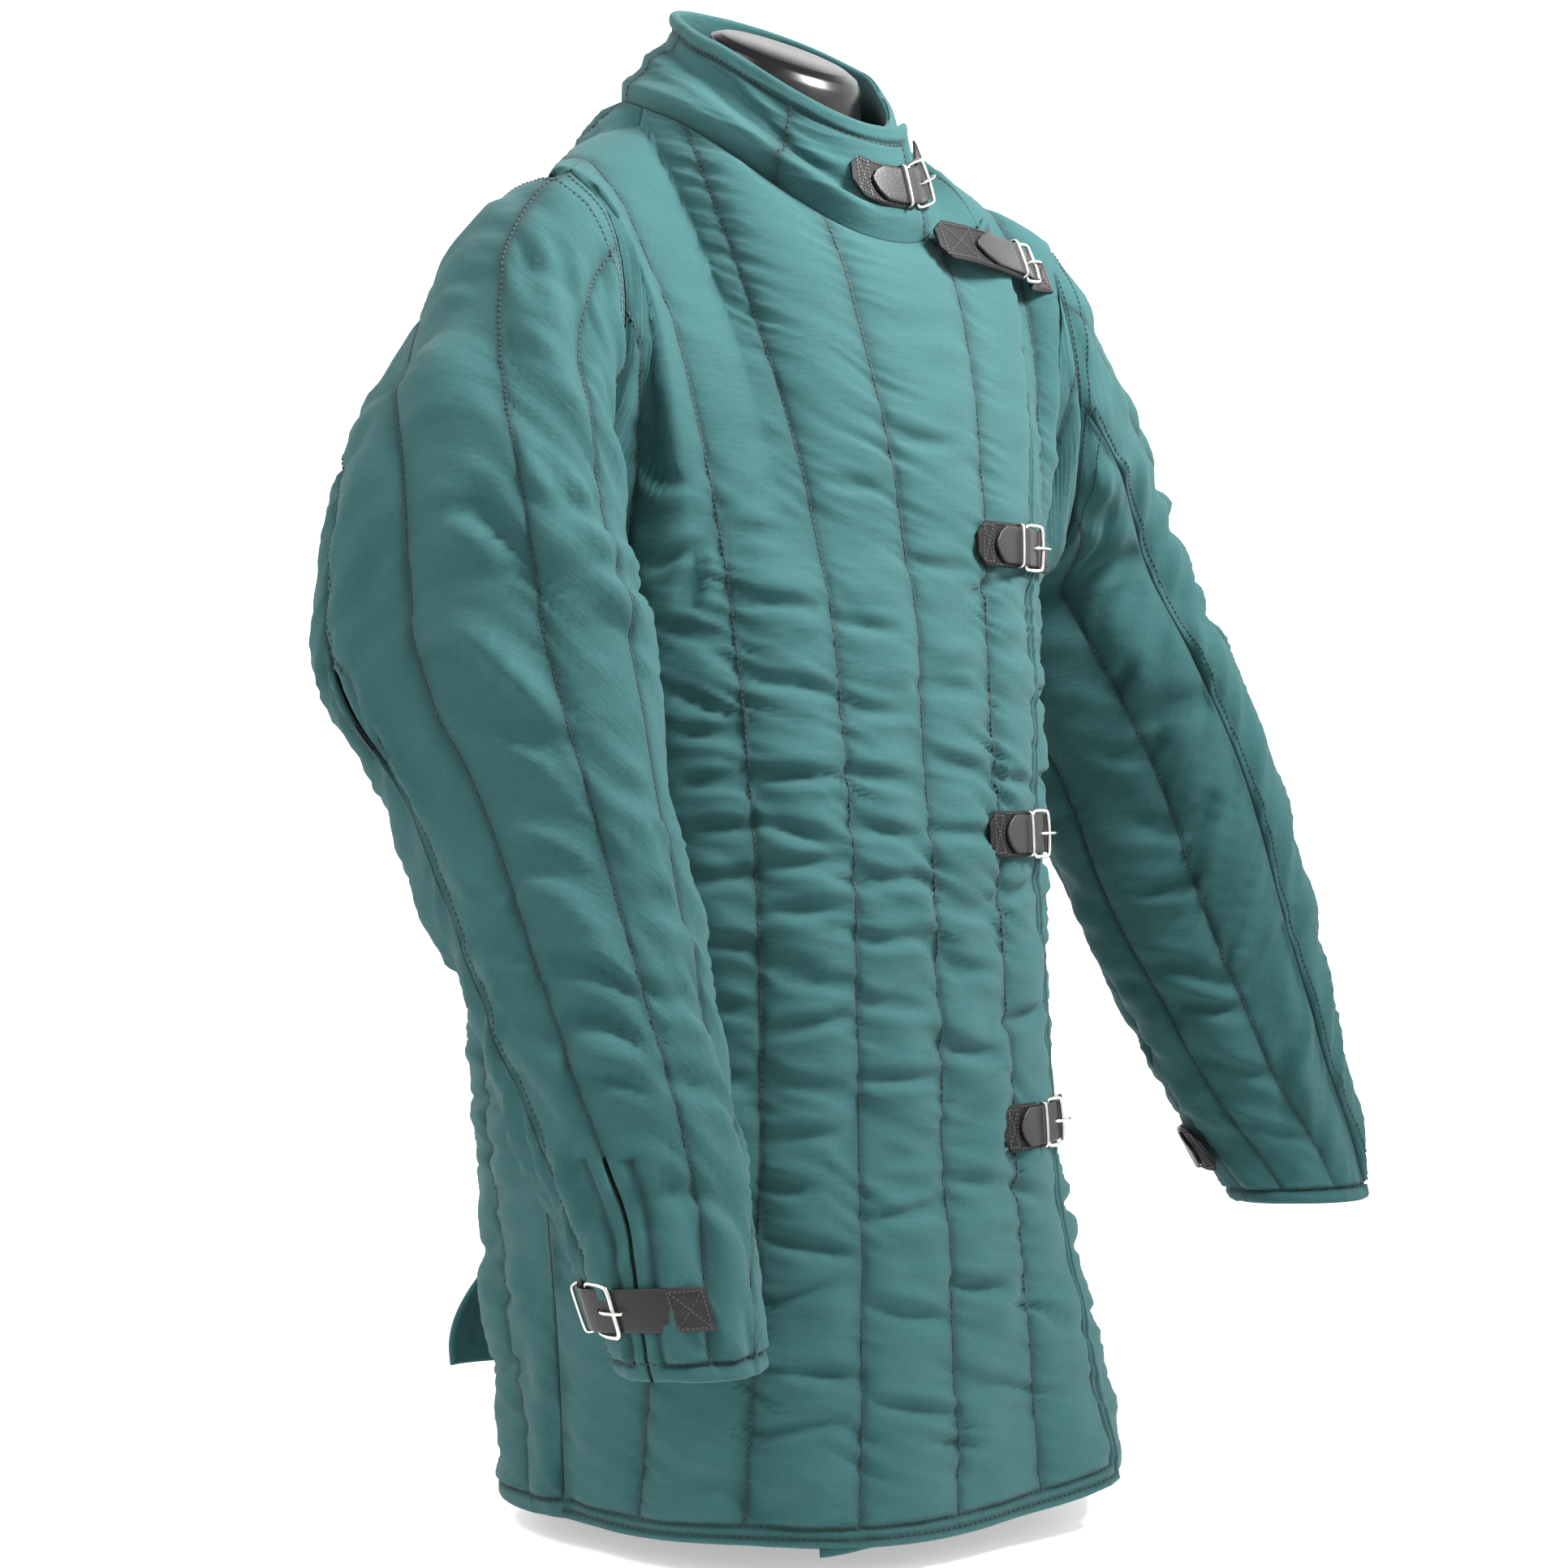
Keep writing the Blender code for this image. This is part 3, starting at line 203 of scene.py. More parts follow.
@dataclass
class BodyCut:
    """The jacket's body: level curves by height, then the run up to the shoulder, neck and armhole seams."""

    chest_z: float = 0.56
    overlap_lift: float = 0.0078
    edge_spread: float = 0.26
    u_tip: float = 5 / 3
    u_neck: float = 8 / 3
    skirt_flare: float = 0.022
    flare_top: float = 0.24
    vent_top: float = 0.3
    vent_swing: float = 0.115
    vent_aside: float = -0.6
    vent_rise: float = 0.48
    under_drop: float = 0.007
    left_raise: float = 0.009
    left_arch: float = 0.009
    left_flatter: float = 0.34
    corner_flatter: float = 0.3
    seam_angle: float = radians(101)
    low_rows: int = 165
    high_rows: int = 96
    levels: Table = table(
        "z middle half front side back square channel shift turn", [
            (0.02, -0.006, 0.188, -0.203, -0.005, 0.138, 2.5, 0.0694, -0.01, 3.0),
            (0.12, -0.01, 0.185, -0.193, -0.003, 0.15, 2.45, 0.0645, -0.002, 2.0),
            (0.25, -0.019, 0.187, -0.182, -0.004, 0.162, 2.35, 0.062, 0.012, 1.5),
            (0.43, -0.022, 0.188, -0.169, -0.004, 0.152, 2.35, 0.0615, 0.019, 1.0),
            (0.56, -0.014, 0.187, -0.153, -0.006, 0.15, 2.45, 0.0635, 0.018, 0.0),
            (0.7, -0.012, 0.187, -0.133, -0.012, 0.15, 2.5, 0.067, 0.024, -3.0),
        ])
    hem: Table = table("u z", [
        (0.0, 0.019), (1.0, 0.018), (2.0, 0.02), (3.0, 0.018), (4.0, 0.018), (5.0, 0.022), (6.0, 0.03),
        (7.5, 0.032), (9.0, 0.034), (11.0, 0.028), (13.5, 0.02), (16.0, 0.016), (18.0, 0.019)])
    armhole_front: Table = table("k x y z", [
        (0.0, -0.23, 0.005, 0.628), (0.2, -0.221, -0.046, 0.65), (0.42, -0.204, -0.073, 0.708),
        (0.65, -0.196, -0.074, 0.765), (0.85, -0.195, -0.055, 0.814), (1.0, -0.2, -0.028, 0.839)])
    armhole_back: Table = table("k x y z", [
        (0.0, -0.23, 0.005, 0.628), (0.2, -0.222, 0.056, 0.65), (0.45, -0.205, 0.084, 0.715),
        (0.7, -0.196, 0.06, 0.792), (0.87, -0.197, 0.018, 0.834), (1.0, -0.2, -0.028, 0.839)])
    shoulder: Table = table("k x y z", [
        (0.0, -0.2, -0.028, 0.839), (0.3, -0.168, 0.0, 0.853), (0.6, -0.135, 0.017, 0.871),
        (1.0, -0.093, 0.026, 0.893)])
    arrive_front: Table = table("v x y z", [
        (0.0, -0.3, 0.0, 1.0), (0.8, -0.3, 0.1, 0.95), (1.33, -0.38, 0.42, 0.82),
        (1.67, -0.2, 0.8, 0.56), (2.2, 0.18, 0.85, 0.5), (2.67, 0.35, 0.8, 0.62), (4.5, 0.0, 0.6, 0.91)])
    arrive_back: Table = table("v x y z", [
        (0.0, -0.3, 0.0, 1.0), (0.8, -0.16, -0.1, 1.0), (1.33, -0.35, -0.6, 0.6),
        (1.67, -0.3, -0.9, -0.08), (2.2, 0.15, -0.95, 0.0), (2.67, 0.35, -0.8, 0.24),
        (4.5, 0.0, -0.6, 0.91)])
    overlap_top: Table = table("u t", [
        (5.0, 2.0), (5.34, 1.885), (5.67, 1.79), (5.84, 1.72), (6.0, 1.6)])
    neck: tuple[float, ...] = (0.095, 0.103, 0.005, 0.8797, 0.0545, -0.0142)
    collar_rim: tuple[float, ...] = (0.064, 0.077, -0.006, 0.943, 0.05, -0.004)

    def __post_init__(self) -> None:
        """Works out the dense grid of points and wall directions that every piece reads."""
        self.us = np.arange(CHANNELS * COLUMNS_PER_CHANNEL + 1) / COLUMNS_PER_CHANNEL
        self.ts = np.concatenate([np.linspace(0, 1, self.low_rows), np.linspace(1, 2, self.high_rows)[1:]])
        self.ends = [self.top_end(float(u)) for u in self.us]
        self.grid = self.dense_points()
        self.walls = self.dense_walls()
        steps = np.linalg.norm(np.diff(self.grid, axis=1), axis=2)
        self.runs = np.concatenate([np.zeros((len(self.us), 1)), np.cumsum(steps, axis=1)], axis=1)

    def section(self, z: float, u: Array) -> Array:
        """Where channel coordinates u lie on the body's level curve at height z.

        Args:
            z: The height.
            u: Channel coordinates, 0 at the right side seam and 9 at the left.

        Returns:
            An x and a y for each.
        """
        row = {name: float(self.levels.read(name, z)) for name in self.levels.names[1:]}
        turn = radians(row["turn"])
        out = np.zeros((len(u), 2))
        wrapped = u % CHANNELS
        for front in (True, False):
            here = wrapped <= 9 if front else wrapped > 9
            angles = np.linspace(0, pi, 241)
            c, s = power(np.cos(angles), np.sin(angles), row["square"])
            depth = row["side"] - row["front"] if front else row["back"] - row["side"]
            side = -1 if front else 1
            xs, ys = side * row["half"] * c, row["side"] + side * depth * s
            length = np.concatenate([[0], np.cumsum(np.hypot(np.diff(xs), np.diff(ys)))])
            first = (length[-1] - 7 * row["channel"]) / 2
            shift = row["shift"] if front else 0.0
            stops = [0, first + shift, first + 7 * row["channel"] + shift, length[-1]]
            run = np.interp(wrapped[here] - (0 if front else 9), [0, 1, 8, 9], stops)
            x, y = np.interp(run, length, xs), np.interp(run, length, ys)
            flare = self.skirt_flare * (1 - ease(0.02, self.flare_top, z)) * ease(4.6, 6.0, wrapped[here]) * front
            out[here, 0] = row["middle"] + cos(turn) * x - sin(turn) * y + 0.35 * flare
            out[here, 1] = sin(turn) * x + cos(turn) * y - 0.94 * flare
        return out

    def fold(self, u: float) -> tuple[float, Array, bool]:
        """Column u as if on the wearer's right.

        Args:
            u: A channel coordinate.

        Returns:
            Its place, its mirror and whether it is in front.
        """
        u = u % CHANNELS
        right = u <= 4.5 or u > 13.5
        v = u if u <= 4.5 else 9 - u if u <= 9 else u - 9 if u <= 13.5 else 18 - u
        return v, np.array([1.0 if right else -1.0, 1, 1]), u <= 9

    @staticmethod
    def ring(shape: tuple[float, ...], angle: Array | float) -> Array:
        """A neck ring: angle 0 at the front, a quarter turn at the wearer's right."""
        rx, ry, y, mid, tilt, saddle = shape
        c, s = power(np.cos(angle), np.sin(angle), 2.2)
        z = mid - tilt * np.cos(angle) + saddle * np.cos(2 * np.asarray(angle))
        return np.stack([-rx * s, y - ry * c, z], axis=-1)

    def neck_angle(self, u: float) -> float:
        """The neck ring's angle where column u ends: positive on the wearer's right."""
        v, mirror, front = self.fold(u)
        share = (v - self.u_neck) / (4.5 - self.u_neck)
        angle = self.seam_angle * (1 - share) if front else self.seam_angle + (pi - self.seam_angle) * share
        return angle * mirror[0]

    def neck_tuck(self, angle: Array | float) -> Array:
        """How much of the tuck the neck seam takes, by the angle walked from the overlap round the back."""
        return ease(radians(259), radians(298), angle)

    def armhole(self, k: float, front: bool, side: float) -> Array:
        """A point of the armhole seam, from the armpit (0) to the shoulder tip (1)."""
        point = (self.armhole_front if front else self.armhole_back).point(k) * np.array([-side, 1, 1])
        return point + np.array([0, 0, self.left_raise if side > 0 else 0.0]) * float(ease(0.3, 1.0, k))

    @staticmethod
    def armhole_wall(point: Array, side: float) -> Array:
        """The wall's direction on the armhole seam: out from the armhole's middle."""
        middle = np.array([point[0] - side * 0.012, 0.002, 0.738])
        return unit((point - middle) * np.array([1, 1, 0.8]))

    @staticmethod
    def neck_wall(angle: float) -> Array:
        """The wall's direction on the neck seam."""
        return unit(np.array([-sin(angle), -cos(angle), 0.62]))

    def top_end(self, u: float) -> tuple[Array, Array, Array, str]:
        """Where column u ends.

        Args:
            u: A channel coordinate.

        Returns:
            The point, the direction the column arrives in, its wall's direction and the kind of seam.
        """
        v, mirror, front = self.fold(u)
        side = -mirror[0]
        table = self.arrive_front if front else self.arrive_back
        arrive = unit(table.point(v)) * mirror
        if side > 0 and front:
            lower = float(ease(1.3, 2.0, v)) * (1 - float(ease(2.8, 3.8, v)))
            at_corner = float(ease(2.0, 2.7, v)) * (1 - float(ease(2.8, 3.8, v)))
            arrive = unit(arrive - np.array([0, 0, self.left_flatter * lower + self.corner_flatter * at_corner]))
        if v < self.u_tip - 1e-9:
            point = self.armhole(v / self.u_tip, front, side)
            return point, arrive, self.armhole_wall(point, side), "armhole"
        if v < self.u_neck - 1e-9:
            k = (v - self.u_tip) / (self.u_neck - self.u_tip)
            point = self.shoulder.point(k) * mirror
            if side > 0:
                point[2] += self.left_raise * (1 - k) ** 0.5 + self.left_arch * 4 * k * (1 - k)
            ends = self.armhole_wall(point, side) * (1 - k) + self.neck_wall(self.seam_angle * mirror[0]) * k
            wall = unit(ends + np.array([0, 0, 1.2 * k * (1 - k)]))
            return point, arrive, wall, "shoulder" if k > 0 else "tip"
        angle = self.neck_angle(u)
        return self.ring(self.neck, angle), arrive, self.neck_wall(angle), "neck"

    def dense_points(self) -> Array:
        """The plain surface at every dense column and row."""
        zs = np.linspace(-0.01, self.chest_z, 96)
        curves = np.array([self.section(float(z), self.us) for z in zs])
        low = self.ts[:self.low_rows]
        hem = self.hem.read("z", self.us % CHANNELS)
        grid = np.zeros((len(self.us), len(self.ts), 3))
        below, at = self.section(self.chest_z - 0.02, self.us), self.section(self.chest_z, self.us)
        high = (self.ts[self.low_rows:] - 1)[:, None]
        for i in range(len(self.us)):
            z = hem[i] + (self.chest_z - hem[i]) * low
            x, y = (np.interp(z, zs, curves[:, i, k]) for k in (0, 1))
            grid[i, :self.low_rows] = np.stack([x, y, z], 1)
            start = np.append(at[i], self.chest_z)
            end, arrive = self.ends[i][:2]
            length = np.linalg.norm(end - start) * 0.9
            leave = np.append((at[i] - below[i]) / 0.02, 1) * length
            grid[i, self.low_rows:] = hermite(start, leave, end, arrive * length, high)
        return grid

    def dense_walls(self) -> Array:
        """The wall's direction at every dense column and row."""
        ring = self.grid[:-1]
        around = np.roll(ring, -1, axis=0) - np.roll(ring, 1, axis=0)
        walls = unit(np.cross(around, np.gradient(ring, axis=1)))
        walls = np.concatenate([walls, walls[:1]])
        tops = np.array([end[2] for end in self.ends])
        share = ease(1.955, 2.0, self.ts)[None, :, None]
        return unit(walls * (1 - share) + tops[:, None] * share)

    def sample(self, values: Array, u: Array, t: Array) -> Array:
        """A dense field at any columns and levels.

        Args:
            values: The field, a row for each dense column and an entry for each dense level.
            u: Channel coordinates.
            t: Levels from 0 at the hem to 2 at the top.

        Returns:
            The field there, read straight between its entries.
        """
        i = np.clip(np.asarray(u, float) * COLUMNS_PER_CHANNEL, 0, len(self.us) - 1.001)
        j = np.clip(np.interp(t, self.ts, np.arange(len(self.ts))), 0, len(self.ts) - 1.001)
        i0, j0 = i.astype(int), j.astype(int)
        fi, fj = i - i0, j - j0
        if values.ndim == 3:
            fi, fj = fi[..., None], fj[..., None]
        return ((values[i0, j0] * (1 - fi) + values[i0 + 1, j0] * fi) * (1 - fj)
                + (values[i0, j0 + 1] * (1 - fi) + values[i0 + 1, j0 + 1] * fi) * fj)

    def point(self, u: float, t: float) -> Array:
        """The plain surface at one place."""
        return self.sample(self.grid, np.array([u]), np.array([t]))[0]

    def wall(self, u: float, t: float) -> Array:
        """The wall's direction at one place."""
        return unit(self.sample(self.walls, np.array([u]), np.array([t]))[0])

    def level(self, u: float, z: float) -> float:
        """The level at which column u is at height z."""
        heights = self.sample(self.grid, np.full(len(self.ts), u), self.ts)[:, 2]
        top = int(np.argmax(heights)) + 1
        return float(np.interp(z, heights[:top], self.ts[:top]))

    def spread(self, u: Array, t: Array) -> Array:
        """Column u of the overlap, which widens toward its top corner."""
        return u + self.edge_spread * ease(1.15, 1.65, t) * ease(5.2, 6.0, u)

    def tuck(self, u: Array) -> Array:
        """How far the front beneath is tucked in to clear the overlap over it."""
        return self.overlap_lift * (1 - ease(6.4, 7.7, u))


@dataclass
class SleeveCut:
    """One sleeve: level sections down a bent centre line, with a cap that rises to the armhole."""

    side: Side
    levels: Table
    cap: tuple[float, float, float, float]
    turn: float = 0.19
    turn_at_cuff: float = 0.45
    cap_rows: int = 72
    arm_rows: int = 150

    def seam_turn(self, z: float) -> float:
        """How far the seams have turned to the front at height z, in half turns."""
        share = float(ease(0.0, 0.11, z - self.levels.knots().min()))
        return self.turn * (self.turn_at_cuff + (1 - self.turn_at_cuff) * share)

    def section(self, z: float, places: Array) -> Array:
        """A level section of the sleeve, at the same places around as the armhole.

        Args:
            z: The height.
            places: 0 at the armpit, 1 at the tip, up to 2 over the back.

        Returns:
            A point for each place.
        """
        row = {name: float(self.levels.read(name, z)) for name in self.levels.names[1:]}
        yaw = radians(row["yaw"])
        wide = np.array([cos(yaw), sin(yaw), 0])
        thin = np.array([-wide[1], wide[0], 0]) * (1 if -wide[1] * self.side.value > 0 else -1)
        angle = (np.asarray(places, float) - 0.5 - self.seam_turn(z)) * pi
        c, s = power(np.cos(angle), np.sin(angle), 2.2)
        centre = np.array([row["x"], row["y"], z])
        return centre + row["wide"] * c[:, None] * wide + row["thin"] * s[:, None] * thin

    def build(self, body: BodyCut, places: Array) -> None:
        """Works out the dense grid, its walls and its lengths.

        Args:
            body: The body whose armhole the sleeve is set into.
            places: The columns' places round the armhole, once round and from any start.
        """
        places = np.asarray(places) % 2
        count = len(places)
        side = self.side.value
        start = np.array([body.armhole(min(k, 2 - k), k <= 1, side) for k in places])
        first = np.array([body.armhole_wall(point, side) for point in start])
        high, low = self.levels.knots().max(), self.levels.knots().min()
        end = self.section(high, places)
        below = self.section(high - 0.01, places)
        up = 0.5 - 0.5 * np.cos(places * pi)
        outward, lift, drop, ease_off = self.cap
        leave = unit(np.outer(outward + lift * up, [side, 0, 0]) + np.outer(drop - ease_off * up, [0, 0, -1])
                     + np.outer(0.22 * np.sin(places * pi), [0, -1, 0]))
        length = np.linalg.norm(end - start, axis=1)[:, None]
        rows = [hermite(start, leave * length * 1.15, end, unit(below - end) * length * 1.1, i / self.cap_rows)
                for i in range(self.cap_rows)]
        rows += [self.section(z, places) for z in np.linspace(high, low, self.arm_rows)]
        self.grid = np.array(rows)
        around = np.roll(self.grid, -1, axis=1) - np.roll(self.grid, 1, axis=1)
        walls = unit(np.cross(around, np.gradient(self.grid, axis=0)))
        if ((self.grid - self.grid.mean(axis=1, keepdims=True)) * walls).sum() < 0:
            walls = -walls
        share = (1 - ease(0, 0.1, np.arange(len(rows)) / self.cap_rows))[:, None, None]
        self.walls = unit(walls * (1 - share) + first * share)
        steps = np.linalg.norm(np.diff(self.grid, axis=0), axis=2)
        self.runs = np.concatenate([np.zeros((1, count)), np.cumsum(steps, axis=0)])


@dataclass
class CollarCut:
    """The standing collar, whose foot rolls over and whose ends overlap at the left front."""

    body: BodyCut
    tuck: float = 0.0105
    height: float = 0.078
    end_over: float = 5.0
    end_under: float = 4.0

    def span(self) -> list[float]:
        """Angles of the collar's seams, from its upper end at the left front round to its under end."""
        body = self.body
        over = [self.end_over - k / 3 for k in range(int(round((self.end_over - body.u_neck) * 3)) + 1)]
        back = [18 - body.u_neck - k / 3 for k in range(6)] + [13.5] + [13 + 1 / 3 - k / 3 for k in range(6)]
        under = [9 - body.u_neck - k / 3 for k in range(int(round((9 - body.u_neck - self.end_under) * 3)) + 1)]
        angles = [body.neck_angle(u) for u in over + back + under]
        out = [angles[0]]
        for angle in angles[1:]:
            while angle < out[-1] - 1e-6:
                angle += 2 * pi
            if angle > out[-1] + 1e-4:
                out.append(angle)
        return out

    def surface(self, angle: Array, v: Array, inward: Array | float) -> tuple[Array, Array]:
        """The collar's plain inside and its direction out.

        Args:
            angle: Angles about the neck.
            v: Shares of the height, of the same shape.
            inward: How far the wall is set in.

        Returns:
            A point and a direction for each.
        """
        body = self.body
        base, rim = body.ring(body.neck, angle), body.ring(body.collar_rim, angle)
        radial = np.stack([-np.sin(angle), -np.cos(angle), np.zeros_like(angle)], axis=-1)
        front = (0.5 + 0.5 * np.cos(angle - 0.5)) * ease(-0.2, 0.9, angle) * (1 - ease(4.2, 5.2, angle))
        roll = (0.001 + 0.01 * front) * np.sin(pi * np.minimum(v / 0.42, 1.0)) - 0.003 * front * np.sin(pi * v) ** 2
        lean = 1 - (1 - v) ** 1.35
        shares = np.stack([lean, lean, v], axis=-1)
        point = base + (rim - base) * shares + radial * (roll - inward)[..., None]
        rise = np.stack([np.zeros_like(v), np.zeros_like(v), 0.62 * (1 - v) ** 2 + 0.12], axis=-1)
        return point, unit(radial + rise)


# ------------ cloth relief


@dataclass(frozen=True)
class Relief:
    """The small unevenness of quilted cloth: puckers from each row of stitches, dents and slow waves."""

    pucker: float = 0.004
    pucker_step: float = 0.0072
    pucker_reach: float = 0.017
    dent: float = 0.002
    dent_step: float = 0.013
    wave: float = 0.0034
    wave_step: float = 0.055

    def lift(self, channel: Array, width: Array | float, run: Array, seed: int) -> Array:
        """How far the cloth stands out of its plain puffed form.

        Args:
            channel: Channel coordinates, a row of stitches at each whole number.
            width: The channel's width in metres.
            run: Distances along the channel in metres.
            seed: Tells one piece's pattern from another's.

        Returns:
            Metres outward, of the inputs' common shape.
        """
        channel, run = np.broadcast_arrays(channel, run)
        low = np.floor(channel + 1e-6)
        sway = 1.3 * noise(channel * 0.9, run / 0.045, seed + 3)
        out = np.zeros(channel.shape)
        for line in (low, low + 1):
            away = np.abs(channel - line) * width
            turn = np.where(line == low, 1.0, -1.0)
            phase = run / self.pucker_step + sway + turn * 0.55 * away / 0.01
            fold = noise(phase, line * 7.31 + 0.5, seed) + 0.45 * noise(phase * 1.9, line * 3.17 + 0.5, seed + 1)
            fold = 0.35 - 1.7 * np.abs(fold) ** 0.75 + 0.35 * fold
            strength = 0.7 + 0.55 * noise(line * 1.7, run / 0.075, seed + 2)
            out += self.pucker * fold * strength * np.exp(-away / self.pucker_reach) * (1 - np.exp(-away / 0.0016))
        out += self.dent * noise(channel * 2.6, run / self.dent_step, seed + 4) * np.abs(np.sin(pi * channel)) ** 0.5
        out += self.wave * noise(channel * 0.8, run / self.wave_step, seed + 5)
        return out + 0.5 * self.wave * noise(channel * 1.9, run / (0.5 * self.wave_step), seed + 6)


@dataclass(frozen=True)
class Fold:
    """One crease: a soft ridge or trough between two places on the cloth."""

    channel_a: float
    run_a: float
    channel_b: float
    run_b: float
    lift: float
    half_width: float = 0.006

    def shape(self, channel: Array, width: float, run: Array) -> Array:
        """Its lift over the cloth.

        Args:
            channel: Channel coordinates.
            width: The channel's width in metres.
            run: Distances along the channel in metres.

        Returns:
            Metres outward.
        """
        x, y = channel * width, run
        ax, ay, bx, by = self.channel_a * width, self.run_a, self.channel_b * width, self.run_b
        length = max(1e-6, (bx - ax) ** 2 + (by - ay) ** 2)
        along = ((x - ax) * (bx - ax) + (y - ay) * (by - ay)) / length
        held = np.clip(along, 0, 1)
        away = np.hypot(x - ax - held * (bx - ax), y - ay - held * (by - ay))
        taper = np.sin(pi * np.clip(along * 0.86 + 0.07, 0, 1)) ** 0.7
        share = (away / self.half_width) ** 2
        return 1.5 * self.lift * taper * (1 - 0.9 * share) * np.exp(-0.8 * share)


def folds_of(rows: Iterable[tuple[float, ...]], channel: float = 0.0, run: float = 0.0, mirror: bool = False,
             ) -> list[Fold]:
    """Folds from rows in hundredths of a channel and in millimetres, moved by a channel and a run, or turned round."""
    turn = -0.01 if mirror else 0.01
    return [Fold(channel + turn * a, run + run_a / 1000, channel + turn * b, run + run_b / 1000,
                 *(size / 1000 for size in sizes)) for a, run_a, b, run_b, *sizes in rows]


@dataclass(frozen=True)
class Edge:
    """A turned and stitched edge: a rounded lip, a flat rim and rows of stitches set in from it."""

    rim: float = 0.0068
    round_off: float = 0.0036
    rows: tuple[float, ...] = (0.0115,)
    groove: float = 0.0014
    depth: float = 0.003

    def wall(self, thick: Array, away: Array) -> tuple[Array, Array]:
        """The wall near the edge.

        Args:
            thick: The wall's thickness without the edge.
            away: Distances from the edge.

        Returns:
            How far the inner face is drawn in toward the outer, and the thickness measured from the plain inside.
        """
        last = max(self.rows)
        share = ease(last - 0.001, last + 0.005, away)
        out = self.rim * (1 - share) + thick * share
        for row in self.rows:
            out = out - self.depth * np.exp(-((away - row) / self.groove) ** 2) * np.clip(out / self.rim, 0, 1)
        bow = np.sqrt(np.clip(1 - (1 - np.clip(away / self.round_off, 0, 1)) ** 2, 0, 1))
        out = np.maximum(out, 0.0022)
        inner = out * 0.5 * (1 - bow) * 0.96
        return inner, out * (0.5 + 0.5 * bow) + 0.0002 * (1 - bow)

    def painted(self, channel: Array, away: Array, margin: float = 0.0) -> Array:
        """The painted shade of the stitched valleys and of the edge's rows of stitches.

        Args:
            channel: Channel coordinates.
            away: Distances from the edge.
            margin: How far past the edge's last row the channels' own valleys start.

        Returns:
            1 along the rows of stitches, and 0 on the cloth between them.
        """
        # painted shade: 1 down in the channels' stitched valleys and the edge's rows, 0 on the cloth between
        painted_valley_shade = np.exp(-np.abs(np.sin(pi * channel)) / 0.16) * (away > max(self.rows) + margin)
        painted_row_shade = sum(np.exp(-((away - row) / (1.5 * self.groove)) ** 2) for row in self.rows)
        return np.clip(np.maximum(painted_valley_shade, painted_row_shade), 0, 1)


# ------------ meshes


def linked(name: str, mesh: Mesh, finish: Material | None = None) -> Object:
    """Puts a mesh into the scene.

    Args:
        name: The object's name.
        mesh: Its mesh.
        finish: Its material, if it gets one here.

    Returns:
        The object.
    """
    if finish is not None:
        mesh.materials.append(finish)
    obj = bpy.data.objects.new(name, mesh)
    bpy.context.scene.collection.objects.link(obj)
    return obj


def declare(obj: Object, node: str) -> None:
    """Hangs a piece on the root and hides the imported node that it replaces.

    Args:
        obj: The piece.
        node: The node.
    """
    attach(obj, "root")
    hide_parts(node)


def mesh_from(name: str, points: Array, faces: Array, finish: Material, smooth: bool = True,
              ) -> Object:
    """A mesh object in the scene.

    Args:
        name: The object's name.
        points: Its points, a row for each.
        faces: Its faces, a row of point numbers for each, all of one length.
        finish: Its material.
        smooth: Whether it is shaded smooth.

    Returns:
        The object.
    """
    mesh = bpy.data.meshes.new(name)
    faces = np.asarray(faces, np.int32)
    mesh.vertices.add(len(points))
    mesh.vertices.foreach_set("co", np.asarray(points, np.float32).ravel())
    mesh.loops.add(faces.size)
    mesh.loops.foreach_set("vertex_index", faces.ravel())
    mesh.polygons.add(len(faces))
    mesh.polygons.foreach_set("loop_start", np.arange(0, faces.size, faces.shape[1], dtype=np.int32))
    mesh.update(calc_edges=True)
    mesh.validate()
    if smooth:
        mesh.shade_smooth()
    return linked(name, mesh, finish)


def grid_quads(wide: int, high: int) -> Array:
    """Quads of a grid stored row by row, wide points to a row."""
    j, i = np.mgrid[0:high - 1, 0:wide - 1]
    at = (j * wide + i).ravel()
    return np.stack([at, at + 1, at + wide + 1, at + wide], axis=1)


@dataclass
class Shell:
    """Two faces of one wall on the same quads, its UV and the painted shade of its stitched valleys."""

    inner: Array
    outer: Array
    quads: Array
    uv: Array
    groove: Array

    def build(self, name: str, finish: Material) -> Object:
        """Closes the wall and makes it an object.

        Args:
            name: The object's name.
            finish: Its material.

        Returns:
            The object, with a UV layer in metres and an attribute that is 1 in the stitched valleys, where the cloth
            gets painted shade.
        """
        quads, count = self.quads, len(self.inner)
        corner = self.outer[quads[:, 0]]
        normal = np.cross(self.outer[quads[:, 1]] - corner, self.outer[quads[:, 3]] - corner)
        if (normal * (corner - self.inner[quads[:, 0]])).sum() < 0:
            quads = quads[:, ::-1]
        ends = np.concatenate([quads[:, [k, (k + 1) % 4]] for k in range(4)])
        size = count + 1
        keys, back = ends[:, 0] * size + ends[:, 1], ends[:, 1] * size + ends[:, 0]
        a, b = ends[~np.isin(keys, back)].T
        rims = np.stack([a, b, b + count, a + count], axis=1)
        faces = np.concatenate([quads + count, quads[:, ::-1], rims])
        obj = mesh_from(name, np.concatenate([self.inner, self.outer]), faces, finish)
        mesh = obj.data
        loops = np.zeros(len(mesh.loops), np.int32)
        mesh.loops.foreach_get("vertex_index", loops)
        layer = mesh.uv_layers.new(name="cloth")
        layer.data.foreach_set("uv", np.concatenate([self.uv, self.uv])[loops].astype(np.float32).ravel())
        # the groove attribute holds the painted valley shade, at 0.3 of its strength on the inner face
        paint = mesh.attributes.new("groove", "FLOAT", "POINT")
        paint.data.foreach_set("value", np.concatenate([self.groove * 0.3, self.groove]).astype(np.float32))
        return obj


